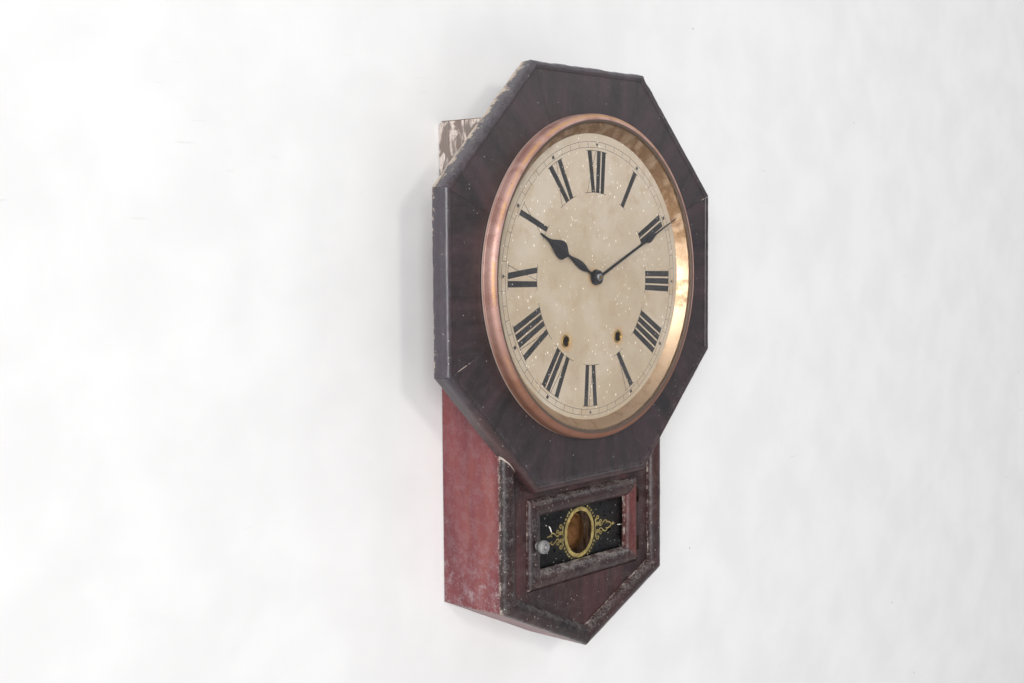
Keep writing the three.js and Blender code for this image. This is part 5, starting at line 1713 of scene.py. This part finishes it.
@dataclass(frozen=True)
class Bezel:
    """The hinged ring with its glass and the bright ring behind it."""

    foot: float = 90.7
    outer: float = 168.3
    bore: float = 161.5
    round_centre: Flat = (162.2, 99.9)
    round_radius: float = 6.1
    lip: float = 159.2
    glass_back: float = 102.5
    glass_front: float = 104.1
    crest_radius: float = 163.6
    crest_reach: float = 2.6
    cone_back: Flat = (148.9, 93.1)
    cone_grow: Flat = (8.7, 9.1)
    steps: int = 220

    def build(self, finishes: Finishes) -> None:
        """Makes the ring, the pane and the reflecting ring."""
        outer, foot, bore, lip = self.outer, self.foot, self.bore, self.lip
        profile = [(bore, foot), (outer - 0.4, foot, 0.4), (outer, foot + 0.4, 0.5)]
        profile += [(outer, 94.0, 0.2), (outer - 0.35, 94.5), (outer - 0.35, 95.0)]
        profile.append((outer, 95.5, 0.3))
        for radius, depth in arc(self.round_centre, self.round_radius, 0, 112, 22):
            crest = max(0.0, 1 - abs(radius - self.crest_radius) / self.crest_reach)
            profile.append((radius, depth, crest))
        profile += [(159.7, 105.0, 0.2), (159.5, 104.9), (lip, 104.7, 0.3), (lip, 104.4, 0.2)]
        profile += [(bore, 104.4), (bore, foot)]
        turned_shell(CENTRE, profile, self.steps).build(
            "bezel_ring", finishes.copper, "bezel", "copper", ("dial_bezel",), sharp=30
        )
        edge, back, front = bore - 0.3, self.glass_back, self.glass_front
        rim = [(0.0, back), (edge - 0.2, back), (edge, back + 0.2)]
        rim += [(edge, front - 0.2), (edge - 0.2, front), (0.0, front)]
        pane = turned_shell(CENTRE, rim, self.steps).build(
            "bezel_pane", finishes.glass, "bezel", "clear_glass", ("dial_glass",)
        )
        pane.visible_shadow = False
        (radius, depth), (widen, rise) = self.cone_back, self.cone_grow
        cone = [(148.6, 92.6), (radius, depth, 0.8)]
        for t in (i / 12 for i in range(1, 13)):
            sag = 0.5 * math.sin(math.pi * t)
            cone.append((radius + widen * t - sag, depth + rise * t, 0.3 + 0.3 * t))
        cone += [(edge, 102.2), (edge, 101.3), (158.1, 101.3), (149.5, 92.6), (148.6, 92.6)]
        turned_shell(CENTRE, cone, self.steps).build(
            "reflector_cone", finishes.reflector, "bezel", "brass", ("reflector_ring",)
        )


def dress_nodes(names: Sequence[str], finish: Material) -> None:
    """Gives some nodes of the frame a finish.

    Args:
        names: the nodes, which keep their shapes and places.
        finish: their new material.
    """
    for name in names:
        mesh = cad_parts[name].data
        mesh.materials.clear()
        mesh.materials.append(finish)
        LOG.info("%s: kept, in %s", name, finish.name)


@dataclass(frozen=True)
class Movement:
    """The striking movement, its pendulum and its gong, which show through the doors."""

    bob: Flat = (0.0, -272.5)
    gong: Flat = (12.0, -170.0)
    gong_depth: float = 24.0
    gong_inner: float = 8.0
    gong_outer: float = 38.0
    gong_wire: float = 1.4
    spring_depth: float = 23.5
    spring_inner: float = 3.85
    spring_outer: float = 29.0
    spring_half: Flat = (0.45, 7.0)
    spring_edge: float = 0.3
    pillar_room: float = 2.9
    coils: int = 3
    coil_steps: int = 72
    springs: tuple[tuple[str, Flat, Flat, int], ...] = (
        ("time_mainspring", (40.4, -64.3), (53.0, -106.0), -1),
        ("strike_mainspring", (-45.6, -64.3), (-57.0, -106.0), 1),
    )
    hinges: tuple[str, ...] = (
        "bezel_hinge", "door_hinge_upper", "door_hinge_lower",
        "door_hinge_upper_leaf", "door_hinge_lower_leaf",
    )
    brass: tuple[str, ...] = (
        "movement_back_plate", "movement_front_plate", "time_great_wheel", "time_second_wheel",
        "centre_arbor", "third_wheel", "escape_wheel", "minute_wheel", "hour_wheel",
        "strike_great_wheel", "strike_second_wheel", "strike_third_wheel", "fly",
    )
    steel: tuple[str, ...] = (
        "time_winding_arbor", "strike_winding_arbor", "verge", "pendulum_rod", "hammer",
    )

    def wound(self, line: Sequence[Flat], depth: float, section: Sequence[Flat]) -> Shell:
        """Sweeps a section along a flat line.

        Args:
            line: the middle line.
            depth: the middle line's depth.
            section: offsets across the line and in depth, in order round the section.

        Returns:
            The closed shell.
        """
        middle, shape = np.array(line), np.array(section)
        flats = middle[:, None] + across_of(middle)[:, None] * shape[None, :, :1]
        depths = depth + shape[None, :, 1] + 0 * flats[..., 0]
        shell = Shell()
        shell.stack(facing_front(flats, depths), 0.4)
        return shell

    def gong_line(self, straight: int = 4, step: float = 1.4) -> list[Flat]:
        """Returns the gong's middle line, straight at both ends.

        Args:
            straight: the number of straight steps at each end.
            step: the length of one of them.

        Returns:
            The points, from the inner end to the outer one.
        """
        last = self.coils * self.coil_steps
        line = []
        for i in range(-straight, last + straight + 1):
            wound = min(max(i, 0), last)
            turn = wound / self.coil_steps
            radius = self.gong_inner + (self.gong_outer - self.gong_inner) * turn / self.coils
            cos, sin = math.cos(TURN * turn), math.sin(TURN * turn)
            spot = np.array([self.gong[0] + radius * cos, self.gong[1] + radius * sin])
            line.append(tuple(spot + step * (i - wound) * np.array([-sin, cos])))
        return line

    def spring_line(self, at: Flat, pillar: Flat, winding: int) -> list[Flat]:
        """Returns a mainspring's middle line, from its arbor to the pillar that holds its end.

        Args:
            at: the winding arbor.
            pillar: the pillar.
            winding: 1 where the strip winds outwards anticlockwise and -1 where clockwise.

        Returns:
            The points, from the arbor outwards.
        """
        reach = math.dist(at, pillar)
        aim = math.atan2(pillar[1] - at[1], pillar[0] - at[0])
        last = aim - winding * math.acos(self.spring_outer / reach)
        steps = self.coils * self.coil_steps
        line = []
        for i in range(steps + 1):
            a = last - winding * TURN * (self.coils - i / self.coil_steps)
            radius = self.spring_inner + (self.spring_outer - self.spring_inner) * i / steps
            line.append((at[0] + radius * math.cos(a), at[1] + radius * math.sin(a)))
        tail = math.sqrt(reach**2 - self.spring_outer**2) - self.pillar_room
        way = last + winding * TURN / 4
        x, z = line[-1]
        for run in (tail * i / 12 for i in range(1, 13)):
            line.append((x + run * math.cos(way), z + run * math.sin(way)))
        return line

    def build_wound(self, finish: Material) -> None:
        """Makes the gong's wire and the two mainsprings.

        Args:
            finish: the material of all three.
        """
        wire = ring_of(CENTRE, (self.gong_wire, self.gong_wire), 14)
        parts = [("gong_coil", self.wound(self.gong_line(), self.gong_depth, wire))]
        bend = self.spring_edge
        half, deep = (reach - bend for reach in self.spring_half)
        strip = []
        corners = ((half, deep), (-half, deep), (-half, -deep), (half, -deep))
        for (x, z), first in zip(corners, (0, 90, 180, 270)):
            for a in (math.radians(first + step) for step in (0, 45, 90)):
                strip.append((x + bend * math.cos(a), z + bend * math.sin(a)))
        for name, at, pillar, winding in self.springs:
            line = self.spring_line(at, pillar, winding)
            parts.append((name, self.wound(line, self.spring_depth, strip)))
        for name, shell in parts:
            shell.build(f"{name}_wound", finish, "case", "blue_steel", (name,))

    def build(self, finishes: Finishes) -> None:
        """Makes the bob and dresses the movement."""
        profile = [(0.0, 53.5), (10.0, 53.9), (18.0, 55.4), (21.6, 57.2), (22.5, 58.6, 1)]
        profile += [(22.5, 59.4, 1), (21.6, 60.8), (19.6, 61.7), (19.2, 62.0, 1), (18.4, 62.2, 1)]
        profile += [(17.8, 62.3), (10.0, 64.1), (4.0, 64.4), (0.0, 64.5)]
        turned_shell(self.bob, profile, 72).build(
            "bob_disc", finishes.bob, "pendulum", "brass", ("pendulum_bob",)
        )
        self.build_wound(finishes.blued)
        dress_nodes(self.hinges, finishes.hinge)
        dress_nodes(self.brass, finishes.brass)
        dress_nodes(self.steel, finishes.steel)
        dress_nodes(("gong_base",), finishes.iron)


@dataclass(frozen=True)
class Room:
    """The pale wall behind the clock, the floor below it, the light and the camera."""

    eye: tuple[float, float, float] = (-1103.2, -978.7, 40.6)
    yaw: float = 47.77
    pitch: float = -4.34
    roll: float = -0.46
    focus: float = 1353.0
    image_width: float = 1024.0
    sensor: float = 36.0
    floor: float = -1.25
    wall_gap: float = 0.0006
    lamps: tuple[tuple[str, Row, Row, float, float, Colour], ...] = (
        ("key_lamp", (-1.32, -3.04, 0.77), (0.0, 0.0, -0.05), 0.42, 17.5, (1.0, 0.97, 0.94)),
        ("ceiling_lamp", (2.6, -2.4, 2.1), (0.0, 0.0, 0.1), 2.6, 14.2, (0.97, 0.985, 1.0)),
        ("window_lamp", (-7.5, -6.5, 1.5), (0.0, 0.0, -0.1), 5.0, 890.0, (0.97, 0.985, 1.0)),
    )

    def wall_paint(self) -> Material:
        """Returns the wall's pale paint with faint marks, clear where it is seen from behind."""
        g = Graph("wall_paint")
        where = g.place()
        lumps = g.cloud(where, 90, 6, 0.2)
        fine = g.cloud(where, 4, 5)
        colour = g.mix(g.step(lumps, 0.3, 0.7), tint("eae8e6"), tint("f0eeec"))
        faint = g.step(g.cloud(g.stretched(where, (0.12, 1, 1)), 7, 4), 0.67, 0.76)
        faint = g.times(faint, g.step(g.cloud(where, 160, 3), 0.5, 0.62))
        colour = g.over(colour, faint, 0.16, "8a8682")
        nicks = g.specks(g.stretched(where, (1, 1, 0.7)), 46, 0.028, 0.3)
        colour = g.over(colour, nicks, 0.7, "6b625c")
        g.raised(g.plus(lumps, g.times(fine, 0.15)), 0.5, 0.5)
        g.dress(Base_Color=colour, Roughness=0.75, Specular_IOR_Level=0.2)
        behind = g.node("NewGeometry", {}).outputs["Backfacing"]
        clear = g.node("BsdfTransparent", {}).outputs[0]
        both = g.node("MixShader", {0: behind, 1: g.surface.outputs[0], 2: clear})
        g.tree.links.new(both.outputs[0], g.end.inputs[0])
        return g.material

    def wall(self) -> None:
        """Makes the wall, which shows only from its front, and the floor."""
        left, right, near, far, top = -4, 6, -5, 3, 3
        low, gap = self.floor, self.wall_gap
        upright = [(left, gap, low), (right, gap, low), (right, gap, top), (left, gap, top)]
        level = [(left, near, low), (right, near, low), (right, far, low), (left, far, low)]
        floor_paint = Graph("floor_paint").dress(Base_Color=tint("e4e3e1"), Roughness=0.8)
        for name, corners, finish in (
            ("wall", upright, self.wall_paint()),
            ("floor", level, floor_paint),
        ):
            mesh = bpy.data.meshes.new(name)
            mesh.from_pydata(corners, [], [(0, 1, 2, 3)])
            mesh.materials.append(finish)
            made = placed(name, mesh)
            if name == "wall":
                made.visible_shadow = False
                made.visible_diffuse = False

    def light(self) -> None:
        """Sets an even pale room and the lamps: a small key, a soft ceiling, a far window."""
        world = bpy.data.worlds.new("room")
        bpy.context.scene.world = world
        world.use_nodes = True
        shade = world.node_tree.nodes["Background"]
        shade.inputs[0].default_value = (0.9, 0.93, 1.0, 1)
        shade.inputs[1].default_value = 0.318
        for name, spot, target, size, power, colour in self.lamps:
            lamp = bpy.data.lights.new(name, "AREA")
            lamp.shape = "DISK"
            lamp.size = size
            lamp.energy = power
            lamp.color = colour
            made = placed(name, lamp)
            made.location = spot
            aim = Vector(target) - Vector(spot)
            made.rotation_euler = aim.to_track_quat("-Z", "Y").to_euler()

    def camera(self) -> None:
        """Sets the camera where the photograph was taken from."""
        yaw, pitch, roll = (math.radians(v) for v in (self.yaw, self.pitch, self.roll))
        level = math.cos(pitch)
        ahead = Vector((math.sin(yaw) * level, math.cos(yaw) * level, math.sin(pitch)))
        right = Vector((math.cos(yaw), -math.sin(yaw), 0))
        up = right.cross(ahead)
        turned_right = right * math.cos(roll) + up * math.sin(roll)
        turned_up = up * math.cos(roll) - right * math.sin(roll)
        data = bpy.data.cameras.new("camera")
        data.sensor_width = self.sensor
        data.lens = self.focus / self.image_width * self.sensor
        data.clip_start, data.clip_end = 0.05, 50
        made = placed("camera", data)
        turn = Matrix((turned_right, turned_up, -ahead)).transposed().to_4x4()
        turn.translation = [value * MM for value in self.eye]
        made.matrix_world = turn
        bpy.context.scene.camera = made


def main() -> None:
    """Builds the clock and its room."""
    logging.basicConfig(level=logging.INFO, format="%(name)s: %(message)s")
    bpy.context.scene.view_settings.view_transform = "Standard"
    noise.seed_set(SEED)
    room = Room()
    room.camera()
    room.light()
    room.wall()
    dial = Dial()
    finishes = Finishes.make(((0.0, 0.0), *dial.winding))
    Octagon().build(finishes)
    Trunk().build(finishes)
    door = Door()
    door.build_frame(finishes)
    door.build_glass(finishes)
    door.build_knob(finishes)
    dial.build(finishes)
    build_hands(finishes)
    Bezel().build(finishes)
    Movement().build(finishes)


if __name__ == "__main__":
    main()
